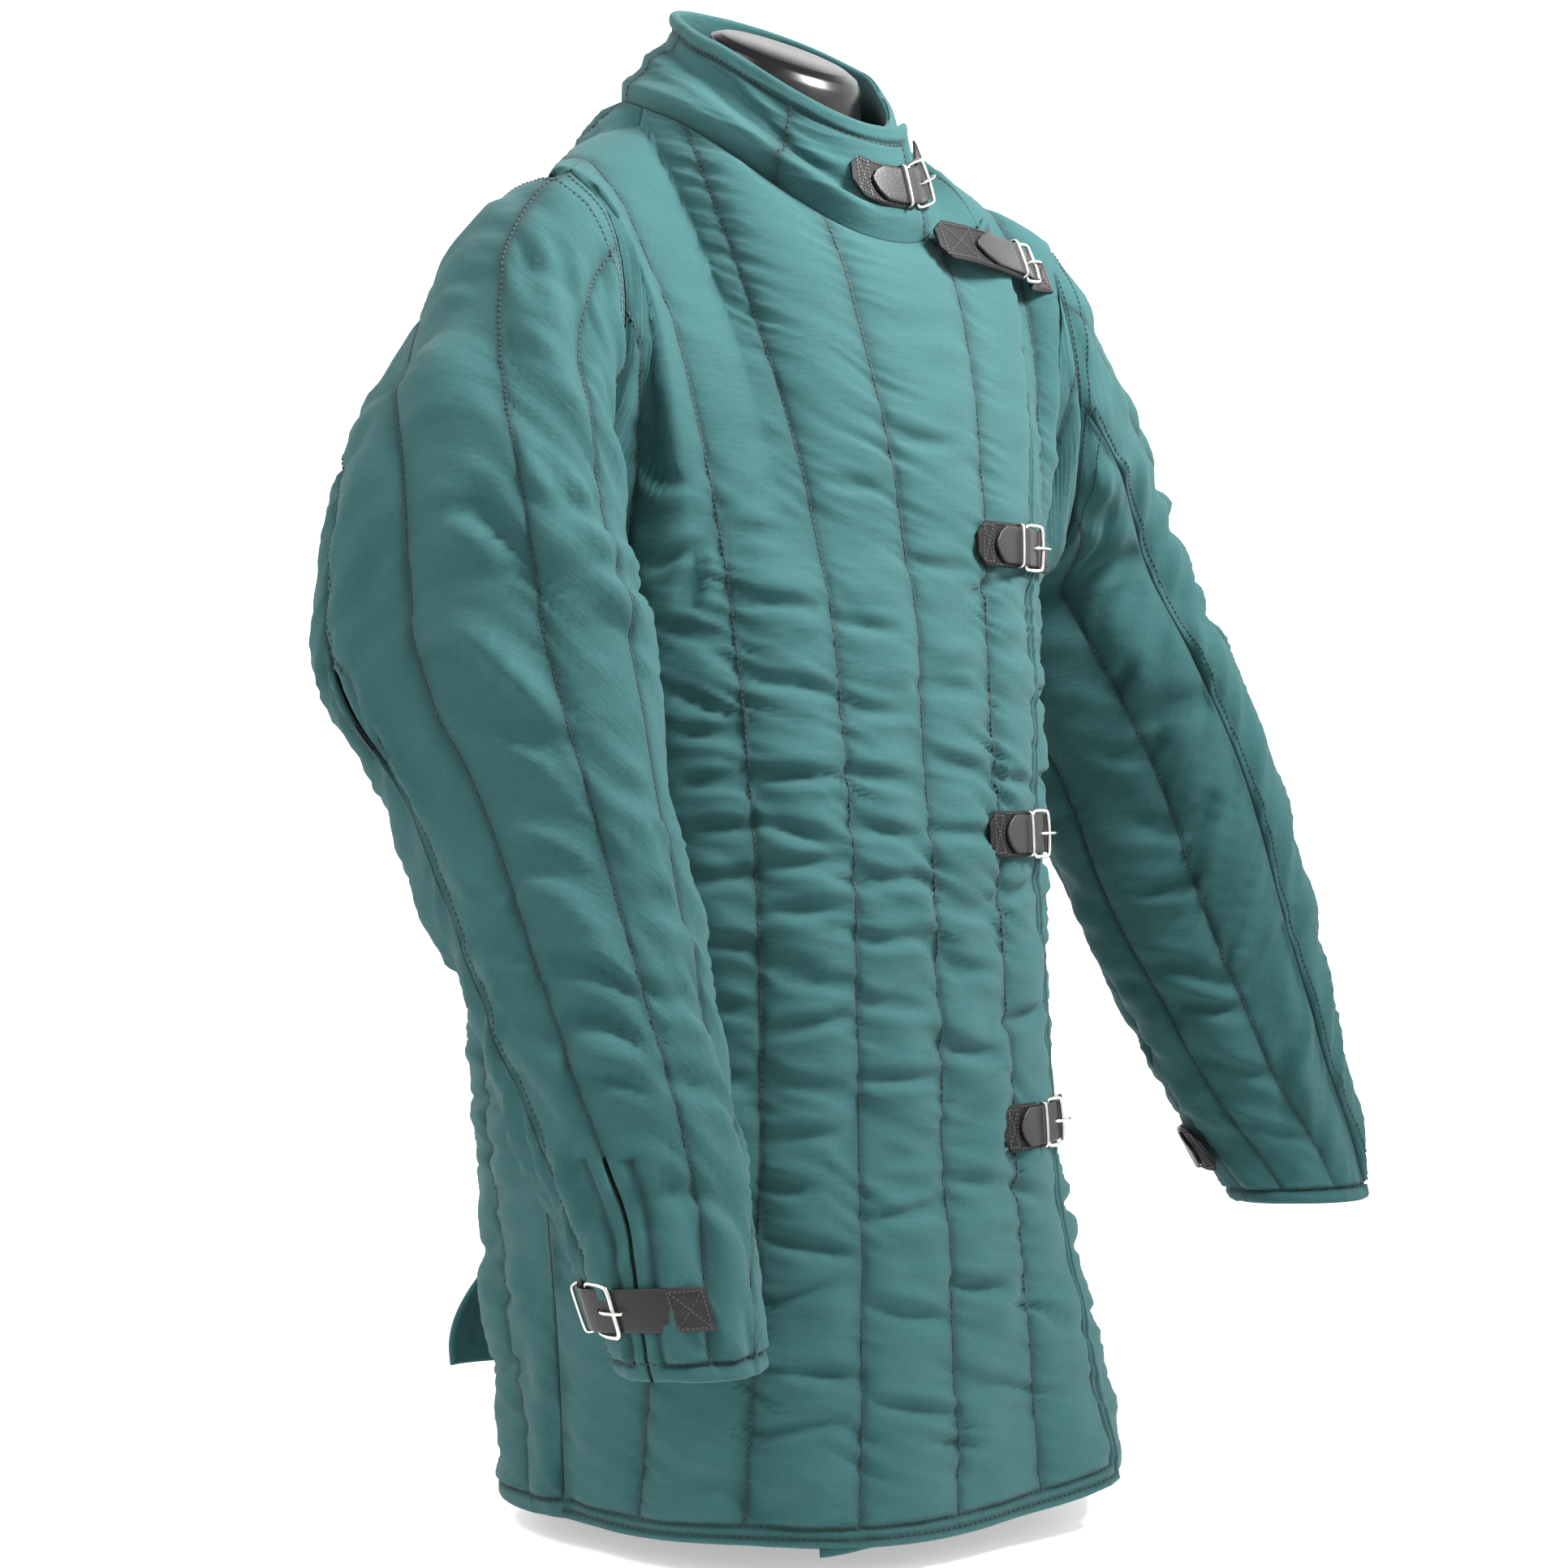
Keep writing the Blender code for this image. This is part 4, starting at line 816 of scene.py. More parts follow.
def lathe(name: str, profile: Sequence[tuple[float, float]], sides: int, finish: Material) -> Object:
    """A closed solid of revolution about the Z axis, through radius and height pairs listed from the bottom up."""
    angles = 2 * pi * np.arange(sides) / sides
    return stack(name, [np.stack([r * np.cos(angles), r * np.sin(angles), np.full(sides, z)], 1) for r, z in profile],
                 finish)


def stack(name: str, rings: Sequence[Array], finish: Material) -> Object:
    """A closed solid through rings of equal counts, listed from the bottom up.

    Args:
        name: The object's name.
        rings: The rings.
        finish: Its material.

    Returns:
        The object.
    """
    count, levels = len(rings[0]), len(rings)
    points = np.concatenate([*rings, [np.mean(rings[0], axis=0), np.mean(rings[-1], axis=0)]])
    low, high, top = levels * count, levels * count + 1, (levels - 1) * count
    pairs = [(i, (i + 1) % count) for i in range(count)]
    faces = [(j + i, j + k, j + count + k, j + count + i) for j in range(0, top, count) for i, k in pairs]
    faces += [(low, k, i) for i, k in pairs] + [(high, top + i, top + k) for i, k in pairs]
    mesh = bpy.data.meshes.new(name)
    mesh.from_pydata(points.tolist(), [], faces)
    mesh.update()
    mesh.shade_smooth()
    return linked(name, mesh, finish)


def wire(name: str, path: Sequence[Array], radius: float, finish: Material, closed: bool = False,
         smooth_steps: int = 2, sides: int = 12) -> Object:
    """A round wire along a path, with its corners bent rather than sharp.

    Args:
        name: The object's name.
        path: Corner points.
        radius: The wire's radius.
        finish: Its material.
        closed: Whether the path is a loop.
        smooth_steps: How often the corners are cut.
        sides: Points round the wire.

    Returns:
        The object.
    """
    path = np.array(path)
    for _ in range(smooth_steps):
        after = np.roll(path, -1, axis=0)
        cut = np.stack([path * 0.75 + after * 0.25, path * 0.25 + after * 0.75], axis=1)
        path = cut.reshape(-1, 3) if closed else np.concatenate([path[:1], cut[:-1].reshape(-1, 3), path[-1:]])
    ahead = np.roll(path, -1, axis=0) - np.roll(path, 1, axis=0) if closed else np.gradient(path, axis=0)
    along = unit(ahead)
    normal = unit(np.linalg.svd(path - path.mean(axis=0))[2][2])
    aside = unit(np.cross(along, normal))
    up = np.cross(aside, along)
    angles = (2 * pi * np.arange(sides) / sides)[None, :, None]
    rings = path[:, None] + radius * (np.cos(angles) * aside[:, None] + np.sin(angles) * up[:, None])
    if not closed:
        tips = [rings[0] * 0.45 + path[0] * 0.55 - along[0] * radius * 0.5, *rings,
                rings[-1] * 0.45 + path[-1] * 0.55 + along[-1] * radius * 0.5]
        return stack(name, tips[::-1], finish)
    j, i = np.mgrid[0:len(path), 0:sides]
    here, there, turned = j * sides, (j + 1) % len(path) * sides, (i + 1) % sides
    faces = np.stack([here + i, there + i, there + turned, here + turned], axis=-1).reshape(-1, 4)
    return mesh_from(name, rings.reshape(-1, 3), faces, finish)


# ------------ finishes


class Nodes:
    """A short way of adding linked shader nodes to one material."""

    def __init__(self, name: str) -> None:
        """Makes the named material and keeps its tree."""
        self.material = bpy.data.materials.new(name)
        self.material.use_nodes = True
        self.tree = self.material.node_tree
        self.shader = self.tree.nodes["Principled BSDF"]

    def put(self, socket: NodeSocket, value: object) -> None:
        """Links an output to a socket, or sets the socket to a plain value.

        Args:
            socket: The input.
            value: An output socket or a plain value.
        """
        if isinstance(value, NodeSocket):
            self.tree.links.new(value, socket)
        else:
            socket.default_value = value

    def fill(self, node: Node, **inputs: object) -> None:
        """Fills a node's inputs, named with _ for a space, with values or output sockets."""
        for key, value in inputs.items():
            self.put(node.inputs[key.replace("_", " ")], value)

    def add(self, kind: str, settings: dict[str, object] | None = None, **inputs: object) -> Node:
        """Adds a node.

        Args:
            kind: Its type.
            settings: Properties set on the node itself.
            inputs: Values or output sockets for its inputs, by the input's name with _ for a space.

        Returns:
            The node.
        """
        node = self.tree.nodes.new(kind)
        for key, value in (settings or {}).items():
            setattr(node, key, value)
        self.fill(node, **inputs)
        return node

    def calc(self, operation: str, a: object, b: object = 0.0, c: float = 0.5, clamp: bool = False,
             ) -> NodeSocket:
        """A mathematics node's output.

        Args:
            operation: What it works out.
            a: Its first operand.
            b: Its second operand.
            c: Its third operand, which most operations leave alone.
            clamp: Whether the result is held between 0 and 1.

        Returns:
            The output socket.
        """
        node = self.add("ShaderNodeMath", {"operation": operation, "use_clamp": clamp})
        for socket, value in zip(node.inputs, (a, b, c)):
            self.put(socket, value)
        return node.outputs[0]

    def mix(self, share: object, a: object, b: object) -> NodeSocket:
        """A colour mixed from two.

        Args:
            share: How much of the second.
            a: The first colour or socket.
            b: The second colour or socket.

        Returns:
            The output socket.
        """
        node = self.add("ShaderNodeMix", {"data_type": "RGBA"})
        for socket, value in ((0, share), (6, a), (7, b)):
            self.put(node.inputs[socket], value)
        return node.outputs[2]


@dataclass(frozen=True)
class ClothFinish:
    """Plain-weave cotton, paler on its threads' crowns, and darkened down in the stitched valleys by painted shade."""

    colour: tuple[float, float, float] = (0.009, 0.048, 0.05)
    worn: tuple[float, float, float] = (0.019, 0.078, 0.079)
    # deep is the colour of the painted shade in the stitched valleys; the weave's tone also mixes toward it
    deep: tuple[float, float, float] = (0.0015, 0.009, 0.011)
    threads: float = 1900.0
    roughness: float = 0.86

    def material(self) -> Material:
        """Builds the material from the cloth's UV layer, its object coordinates and its groove attribute, whose
        stitched valleys get painted shade.
        """
        n = Nodes("quilted_cotton")
        colour, worn, deep = ((*c, 1) for c in (self.colour, self.worn, self.deep))
        uv = n.add("ShaderNodeUVMap", {"uv_map": "cloth"}).outputs["UV"]
        split = n.add("ShaderNodeSeparateXYZ", Vector=uv)
        where = n.add("ShaderNodeTexCoord").outputs["Object"]
        painted_valley_shade = n.add("ShaderNodeAttribute", {"attribute_name": "groove"}).outputs["Fac"]
        warp, weft = (n.calc("SINE", n.calc("MULTIPLY", split.outputs[k], self.threads * pi)) for k in (0, 1))
        weave = n.calc("MULTIPLY", warp, weft)
        slub = n.add("ShaderNodeTexNoise", None, Vector=where, Scale=420.0, Detail=3.0).outputs["Fac"]
        blotch = n.add("ShaderNodeTexNoise", None, Vector=where, Scale=26.0, Detail=4.0).outputs["Fac"]
        stretch = n.add("ShaderNodeMapping", Vector=uv, Scale=(60.0, 230.0, 1.0))
        ripple = n.add("ShaderNodeTexNoise", {"noise_dimensions": "2D"}, Vector=stretch.outputs[0], Scale=1.0,
                       Detail=3.0).outputs["Fac"]
        tone = n.mix(n.calc("MULTIPLY_ADD", slub, 0.8, clamp=True), colour, worn)
        tone = n.mix(n.calc("MULTIPLY", n.calc("SUBTRACT", blotch, 0.42), 1.6, clamp=True), tone, worn)
        # painted shade: the stitched valleys are darkened toward the deep colour
        tone = n.mix(n.calc("MULTIPLY", painted_valley_shade, 0.62, clamp=True), tone, deep)
        tone = n.mix(n.calc("MULTIPLY_ADD", weave, 0.1, 0.1), tone, deep)
        height = n.calc("ADD", n.calc("MULTIPLY", weave, 0.1), n.calc("MULTIPLY", slub, 0.35))
        height = n.calc("ADD", height, n.calc("MULTIPLY", ripple, 0.7))
        bump = n.add("ShaderNodeBump", None, Strength=0.55, Distance=0.0011, Height=height)
        n.fill(n.shader, Base_Color=tone, Roughness=self.roughness, Specular_IOR_Level=0.25, Sheen_Weight=0.05,
               Sheen_Roughness=0.5, Normal=bump.outputs[0])
        return n.material


@dataclass(frozen=True)
class PlainFinish:
    """A finish of one colour with fine unevenness, such as leather, metal, plastic or thread."""

    name: str
    colour: tuple[float, float, float]
    roughness: float
    metallic: float = 0.0
    specular: float = 0.5
    grain: float = 0.0
    grain_scale: float = 900.0

    def material(self) -> Material:
        """Builds the material."""
        n = Nodes(self.name)
        where = n.add("ShaderNodeTexCoord").outputs["Object"]
        speck = n.add("ShaderNodeTexNoise", None, Vector=where, Scale=self.grain_scale, Detail=4.0).outputs["Fac"]
        paler = (*(min(1.0, c * 1.45 + 0.004) for c in self.colour), 1)
        darker = (*(c * 0.72 for c in self.colour), 1)
        n.fill(n.shader, Base_Color=n.mix(speck, darker, paler), Roughness=self.roughness, Metallic=self.metallic,
               Specular_IOR_Level=self.specular)
        if self.grain:
            bump = n.add("ShaderNodeBump", None, Strength=0.5, Distance=self.grain, Height=speck)
            n.fill(n.shader, Normal=bump.outputs[0])
        return n.material


@dataclass
class Finishes:
    """Every material of the object."""

    cloth: Material = field(default_factory=ClothFinish().material)
    leather: Material = field(default_factory=PlainFinish(
        "black_leather", (0.008, 0.0075, 0.0075), 0.42, specular=0.3, grain=0.0004, grain_scale=700.0).material)
    patch: Material = field(default_factory=PlainFinish(
        "matt_leather", (0.003, 0.003, 0.003), 0.66, specular=0.18, grain=0.0004, grain_scale=700.0).material)
    nickel: Material = field(default_factory=PlainFinish(
        "nickel_plate", (0.52, 0.51, 0.48), 0.24, metallic=1.0, grain=0.0001, grain_scale=300.0).material)
    plastic: Material = field(default_factory=PlainFinish(
        "gloss_plastic", (0.002, 0.002, 0.0025), 0.28, specular=0.28, grain_scale=60.0).material)
    steel: Material = field(default_factory=PlainFinish(
        "coated_steel", (0.02, 0.02, 0.022), 0.42, metallic=0.5, grain=0.0001, grain_scale=500.0).material)
    thread: Material = field(default_factory=PlainFinish(
        "dark_thread", (0.005, 0.018, 0.019), 0.7, grain_scale=2500.0).material)
    black_thread: Material = field(default_factory=PlainFinish(
        "black_thread", (0.03, 0.029, 0.028), 0.6, grain_scale=2500.0).material)


# ------------ stitches


@dataclass
class Stitching:
    """Rows of lockstitch, laid by Geometry Nodes along polylines: each row's places and directions out."""

    finish: Material
    pitch: float = 0.0042
    length: float = 0.0031
    thick: float = 0.00055
    proud: float = 0.00025
    rows: list[tuple[Array, Array]] = field(default_factory=list)

    def add(self, points: Array, outs: Array) -> None:
        """Adds a row, by its places on the cloth and the direction out at each."""
        if len(points) > 1:
            self.rows.append((np.asarray(points), unit(outs)))

    def tree(self) -> GeometryNodeTree:
        """The node tree: rows become curves, are resampled by the pitch and get one stitch at each point."""
        tree = bpy.data.node_groups.new("stitch_rows", "GeometryNodeTree")
        tree.interface.new_socket("Geometry", in_out="INPUT", socket_type="NodeSocketGeometry")
        for name in ("Pitch", "Length", "Thickness"):
            tree.interface.new_socket(name, in_out="INPUT", socket_type="NodeSocketFloat")
        tree.interface.new_socket("Geometry", in_out="OUTPUT", socket_type="NodeSocketGeometry")
        node = {key: tree.nodes.new(kind) for key, kind in {
            "given": "NodeGroupInput", "made": "NodeGroupOutput", "curve": "GeometryNodeMeshToCurve",
            "even": "GeometryNodeResampleCurve", "along": "GeometryNodeInputTangent",
            "out": "GeometryNodeInputNamedAttribute", "turn": "FunctionNodeAlignRotationToVector",
            "roll": "FunctionNodeAlignRotationToVector", "stitch": "GeometryNodeMeshCylinder",
            "size": "ShaderNodeCombineXYZ", "lay": "GeometryNodeTransform", "put": "GeometryNodeInstanceOnPoints",
            "real": "GeometryNodeRealizeInstances", "paint": "GeometryNodeSetMaterial"}.items()}
        node["even"].mode, node["out"].data_type = "LENGTH", "FLOAT_VECTOR"
        node["turn"].axis, node["roll"].axis, node["roll"].pivot_axis = "X", "Z", "X"
        for key, socket, value in (
                ("out", "Name", "out"), ("stitch", "Vertices", 5), ("lay", "Rotation", (0.0, pi / 2, 0.0)),
                ("size", "X", 1.0), ("size", "Y", 1.15), ("size", "Z", 0.75), ("paint", "Material", self.finish)):
            node[key].inputs[socket].default_value = value
        for link in ("given Geometry curve Mesh", "curve Curve even Curve", "given Pitch even Length",
                     "along Tangent turn Vector", "turn Rotation roll Rotation", "out Attribute roll Vector",
                     "given Length stitch Depth", "given Thickness stitch Radius", "stitch Mesh lay Geometry",
                     "size Vector lay Scale", "even Curve put Points", "lay Geometry put Instance",
                     "roll Rotation put Rotation", "put Instances real Geometry", "real Geometry paint Geometry",
                     "paint Geometry made Geometry"):
            start, leaves, end, arrives = link.split()
            tree.links.new(node[start].outputs[leaves], node[end].inputs[arrives])
        return tree

    def build(self, name: str) -> Object:
        """Turns the rows into one plain mesh of stitches.

        Args:
            name: The object's name.

        Returns:
            The object.
        """
        edges, start = [], 0
        for points, _ in self.rows:
            edges += [(start + i, start + i + 1) for i in range(len(points) - 1)]
            start += len(points)
        mesh = bpy.data.meshes.new(f"{name}_rows")
        mesh.from_pydata(np.concatenate([points + outs * self.proud for points, outs in self.rows]).tolist(), edges, [])
        paint = mesh.attributes.new("out", "FLOAT_VECTOR", "POINT")
        paint.data.foreach_set("vector", np.concatenate([outs for _, outs in self.rows]).astype(np.float32).ravel())
        mesh.update()
        rows = linked(f"{name}_rows", mesh)
        modifier = rows.modifiers.new("stitches", "NODES")
        modifier.node_group = self.tree()
        values = {"Pitch": self.pitch, "Length": self.length, "Thickness": self.thick}
        for item in modifier.node_group.interface.items_tree:
            if item.name in values:
                modifier[item.identifier] = values[item.name]
        graph = bpy.context.evaluated_depsgraph_get()
        made = bpy.data.meshes.new_from_object(rows.evaluated_get(graph), depsgraph=graph)
        rows.modifiers.remove(modifier)
        bpy.data.objects.remove(rows, do_unlink=True)
        made.name = name
        if "out" in made.attributes:
            made.attributes.remove(made.attributes["out"])
        return linked(name, made, None if made.materials else self.finish)


# ------------ body panels


def column_places(low: float, high: float, corners: Sequence[float], per_channel: int = 14) -> Array:
    """Columns between two channel coordinates, closer together beside the rows of stitches.

    Args:
        low: The first column.
        high: The last column.
        corners: Columns that have to be among them.
        per_channel: How many there are to a channel.

    Returns:
        The columns in order.
    """
    share = np.arange(per_channel) / per_channel
    share = share - 0.62 * np.sin(2 * pi * share) / (2 * pi)
    places = (np.arange(np.floor(low), np.ceil(high) + 1)[:, None] + share).ravel()
    fixed = np.array([low, high, *[c for c in corners if low < c < high]])
    places = places[(places > low) & (places < high)]
    places = places[np.abs(places[:, None] - fixed).min(axis=1) > 0.011]
    return np.unique(np.round(np.concatenate([places, fixed]), 7))


def distance_to_line(points: Array, line: Array) -> Array:
    """How far points are from a polyline's points.

    Args:
        points: An array of points, its last axis x, y and z.
        line: The polyline, closely spaced.

    Returns:
        The distances, of the points' shape without its last axis.
    """
    flat = points.reshape(-1, 3)
    out = np.empty(len(flat))
    for start in range(0, len(flat), 4000):
        part = flat[start:start + 4000]
        out[start:start + 4000] = np.sqrt(((part[:, None] - line[None]) ** 2).sum(axis=2).min(axis=1))
    return out.reshape(points.shape[:-1])


def resampled(line: Array, step: float = 0.0008) -> Array:
    """A polyline with points a given step apart."""
    run = np.append(0, np.cumsum(np.linalg.norm(np.diff(line, axis=0), axis=1)))
    at = np.linspace(0, run[-1], max(2, int(run[-1] / step)))
    return np.stack([np.interp(at, run, line[:, k]) for k in range(3)], axis=1)


@dataclass
class BodyPanel:
    """One of the four panels of the body, cut between two columns."""

    cut: BodyCut
    quilting: Quilting
    panel: Panel
    low: float
    high: float
    flat: tuple[float, float]
    area: float
    folds: list[Fold] = field(default_factory=list)
    relief: Relief = Relief(pucker=0.0054, pucker_step=0.0088, wave=0.004, dent=0.0026)
    chest_calm: float = 0.5
    seed: int = 1
    row_step: float = 0.0026
    sewn_low: bool = True
    sewn_high: bool = True
    corners: tuple[float, ...] = (5 / 3, 8 / 3, 19 / 3, 22 / 3, 32 / 3, 35 / 3, 46 / 3, 49 / 3)

    def top(self, u: Array) -> Array:
        """The level at which each column ends."""
        u = np.asarray(u, float)
        if self.panel is Panel.OVER:
            return np.where(u <= 5.0, 2.0, self.cut.overlap_top.read("t", np.maximum(u, 5.0)))
        if self.panel is Panel.UNDER:
            return np.where(u >= 4.0, 2.0, self.cut.overlap_top.read("t", np.maximum(9 - u, 5.0)))
        return np.full(u.shape, 2.0)

    def columns(self) -> Array:
        """The panel's columns, close together along an upright free edge."""
        places = column_places(self.low, self.high, self.corners)
        if self.panel is Panel.UNDER:
            shown = column_places(5.4, self.high, self.corners)
            return np.unique(np.concatenate([column_places(self.low, 5.4, self.corners, 6), shown]))
        near = np.array(OVERLAP_EDGE if self.panel is Panel.OVER else VENT_EDGE) / 65
        if self.panel is Panel.BACK_RIGHT:
            return np.unique(np.concatenate([places[places > self.low + near.max() + 0.02], self.low + near]))
        return np.unique(np.concatenate([places[places < self.high - near.max() - 0.02], self.high - near]))

    def rows(self) -> Array:
        """The panel's levels from the hem up, as if every column ran to 2."""
        hem = np.array([0, 0.5, 1.2, 2.2, 3.4, 5.0, 7.0, 8.6, 9.8, 10.8, 11.8, 12.8, 14.2, 16.2]) / 540
        low = np.linspace(hem[-1] + 0.0042, 1, int(0.52 / self.row_step))
        count = int(0.345 / self.row_step)
        high = 1 + np.linspace(0, 1, count + 1)[1:]
        near = 2 - np.array([0.9, 2.2, 4.0]) / 345
        high = np.unique(np.concatenate([high[high < near.min() - 0.004], near, [2.0]]))
        return np.concatenate([hem, low, high])

    def seam_shift(self, u: Array, t: Array, ends: Array) -> Array:
        """How far each point gives way for its seams.

        Args:
            u: The grid's columns.
            t: The grid's levels.
            ends: Each column's last level.

        Returns:
            A shift for each point of the grid.
        """
        cut, half, ring = self.cut, self.quilting.seam_half_gap, self.quilting.ring_half_gap
        around = unit(cut.sample(cut.grid, u + 0.03, np.minimum(t, 1.95))
                      - cut.sample(cut.grid, np.maximum(u - 0.03, 0), np.minimum(t, 1.95)))
        shift = np.zeros(u.shape + (3,))
        if self.sewn_low:
            shift[:, 0] += around[:, 0] * half
        if self.sewn_high:
            shift[:, -1] -= around[:, -1] * half
        for i, column in enumerate(u[-1]):
            if ends[i] < 1.999:
                continue
            kind = cut.top_end(float(column))[3]
            v, mirror, front = cut.fold(float(column))
            give = np.zeros(3)
            if kind in ("armhole", "tip"):
                give += np.array([mirror[0] * ring, 0, 0])
            if kind in ("shoulder", "tip") or abs(v - cut.u_neck) < 1e-6:
                give -= np.array([0, ring * (1 if front else -1), 0])
            if kind == "neck":
                angle = cut.neck_angle(float(column))
                give += np.array([-0.53 * sin(angle), -0.53 * cos(angle), -0.85]) * ring
            shift[-1, i] += give
            shift[-2, i] += give * 0.5
        return shift

    def border(self, u: Array, t: Array) -> Array:
        """Distances from the panel's free edges.

        Args:
            u: The grid's columns.
            t: The grid's levels.

        Returns:
            Metres for each point of the grid.
        """
        cut = self.cut
        away = cut.sample(cut.runs, u, t)
        if self.panel is Panel.OVER:
            levels = np.linspace(0, self.top(np.array([6.0]))[0], 700)
            side = cut.sample(cut.grid, cut.spread(np.full(700, 6.0), levels), levels)
            across = np.linspace(6.0, 5.0, 160)
            tops = self.top(across)
            edge = resampled(np.concatenate([side, cut.sample(cut.grid, cut.spread(across, tops), tops)]))
            near = u[0] > 4.6
            points = cut.sample(cut.grid, cut.spread(u[:, near], t[:, near]), t[:, near])
            away[:, near] = np.minimum(away[:, near], distance_to_line(points, edge))
        if self.panel in (Panel.BACK_LEFT, Panel.BACK_RIGHT):
            above = ease(cut.vent_top - 0.006, cut.vent_top + 0.01, cut.sample(cut.grid, u, t)[..., 2])
            away = np.minimum(away, np.abs(u - 13.5) * 0.065 + 0.5 * above)
        return away

    def shell(self) -> Shell:
        """The panel's wall."""
        cut, q = self.cut, self.quilting
        columns = self.columns()
        ends = self.top(columns)
        levels = self.rows()[:, None]
        t = np.where(levels <= 1, levels, 1 + (levels - 1) * (ends[None] - 1))
        u = np.broadcast_to(columns, t.shape).copy()
        true_u = cut.spread(u, t) if self.panel is Panel.OVER else u
        point = cut.sample(cut.grid, true_u, t)
        wall = unit(cut.sample(cut.walls, true_u, t))
        rise = ease(1.6, 2.0, t)
        base = -q.stitched * (1 - rise)
        puff = np.full(u.shape, q.puffed)
        shown = np.ones(u.shape)
        if self.panel is Panel.UNDER:
            seam = np.array([float(cut.neck_tuck(2 * pi + cut.neck_angle(float(c)))) if c < 9 - cut.u_neck else 0.0
                             for c in columns])
            base = base - (cut.tuck(u) * (1 - rise) + cut.overlap_lift * seam * rise)
            shown = ease(6.05, 6.5, u)
            puff = q.under_puff + (q.puffed - q.under_puff) * ease(6.3, 6.7, u)
            low_corner = (1 - ease(2.6, 3.4, u)) * (1 - ease(0, 0.3, t))
            point = point - np.array([0, 0, cut.under_drop]) * low_corner[..., None]
        if self.panel is Panel.BACK_LEFT:
            swing = cut.vent_swing * ease(10.8, 13.5, u) * (1 - ease(0.03, cut.vent_top, point[..., 2]))
            aside = cut.vent_aside * swing**3 / cut.vent_swing**2
            point = point + wall * swing[..., None] + np.stack([aside, 0 * swing, cut.vent_rise * swing], axis=-1)
        thick = q.across(u, puff)
        run = cut.sample(cut.runs, true_u, t)
        tops = np.array([cut.ends[int(round(c * COLUMNS_PER_CHANNEL)) % len(cut.us[1:])][3] for c in columns])
        whole = ends > 1.999
        left = cut.sample(cut.runs, true_u, np.full(t.shape, 2.0)) - run
        crease = np.where(tops[None] == "armhole", q.crease_wall + q.crease_growth * left, q.stitched + 0.25 * left)
        thick = np.where(whole[None] & (t > 1.5), np.minimum(thick, crease), thick)
        width = 0.0645
        lift = self.relief.lift(true_u, width, run, self.seed) * (1 - self.chest_calm * ease(0.56, 0.7, run))
        lift = lift + sum(fold.shape(true_u, width, run) for fold in self.folds)
        lift = lift * np.where(whole, ease(0.0, 0.02, left), 1.0) * shown
        if self.sewn_low:
            lift = lift * ease(0.0, 0.1, u - self.low)
        if self.sewn_high:
            lift = lift * ease(0.0, 0.1, self.high - u)
        away = self.border(u, t)
        self.edge = Edge(rows=(0.0055, 0.0118), depth=0.0022) if self.panel is Panel.OVER else Edge()
        lift = lift * (0.35 + 0.65 * ease(0.002, 0.022, away))
        drawn, thick = self.edge.wall(thick, away)
        outer = point + wall * (base + thick + np.maximum(lift, -0.6 * thick))[..., None]
        inner = point + wall * (base + drawn + 0.7 * np.maximum(lift, 0) * (t < 1.6))[..., None]
        shift = self.seam_shift(u, t, ends)
        self.grid_outer, self.grid_walls, self.grid_u, self.grid_t, self.grid_away = outer, wall, u, t, away
        flat_uv = np.stack([true_u * width, run], axis=-1)
        # the shell's last field is the painted shade of the stitched valleys and the edge's rows
        return Shell((inner + shift).reshape(-1, 3), (outer + shift).reshape(-1, 3),
                     grid_quads(u.shape[1], u.shape[0]), flat_uv.reshape(-1, 2),
                     self.edge.painted(true_u, away).ravel())

    def build(self, finishes: Finishes) -> Object:
        """Args:
            finishes: The object's materials.

        Returns:
            The panel.
        """
        obj = self.shell().build(f"{self.panel.value}_cloth", finishes.cloth)
        declare(obj, self.panel.value)
        return obj

    def stitch(self, rows: Stitching) -> None:
        """Adds the panel's rows of stitches: up its channels, then along its free edges.

        Args:
            rows: The stitching that they join.
        """
        u, t, grids = self.grid_u[0], self.grid_t, (self.grid_away, self.grid_outer, self.grid_walls)
        under = self.panel is Panel.UNDER
        for line in range(int(np.ceil(self.low + 0.01)), int(np.floor(self.high - 0.01)) + 1):
            i = int(np.argmin(np.abs(u - line)))
            keep = (self.grid_away[:, i] > 0.013) & (t[:, i] < 1.985) & (t[:, i] > (0.02 if under else -1))
            if not under or line >= 6:
                rows.add(self.grid_outer[keep, i], self.grid_walls[keep, i])
        way = 1 if self.panel is Panel.BACK_RIGHT else -1
        for inset in self.edge.rows:
            self.follow(rows, [[g[:, i] for g in grids] for i in range(len(u)) if not under or u[i] >= 6], inset, 1.0)
            if not under:
                self.follow(rows, [[g[j, ::way] for g in grids] for j in range(14, len(t) - 1)], inset, 0.6)

    @staticmethod
    def follow(rows: Stitching, lines: Iterable[Sequence[Array]], inset: float, start: float) -> None:
        """Adds a row through the places where lines inward from an edge reach the inset.

        Args:
            rows: The stitching that it joins.
            lines: Distances from the edge, points and directions out along each line.
            inset: The row's distance from the edge.
            start: The share of the inset within which a line has to start.
        """
        found = []
        for away, points, walls in lines:
            away = away[:60]
            if away[0] > inset * start or away.max() < inset * 1.02:
                continue
            k = int(np.argmax(away > inset))
            share = (inset - away[k - 1]) / max(1e-9, away[k] - away[k - 1])
            found.append((points[k - 1] * (1 - share) + points[k] * share, walls[k]))
        if len(found) > 2:
            rows.add(*(np.array(part) for part in zip(*found)))


# ------------ sleeves


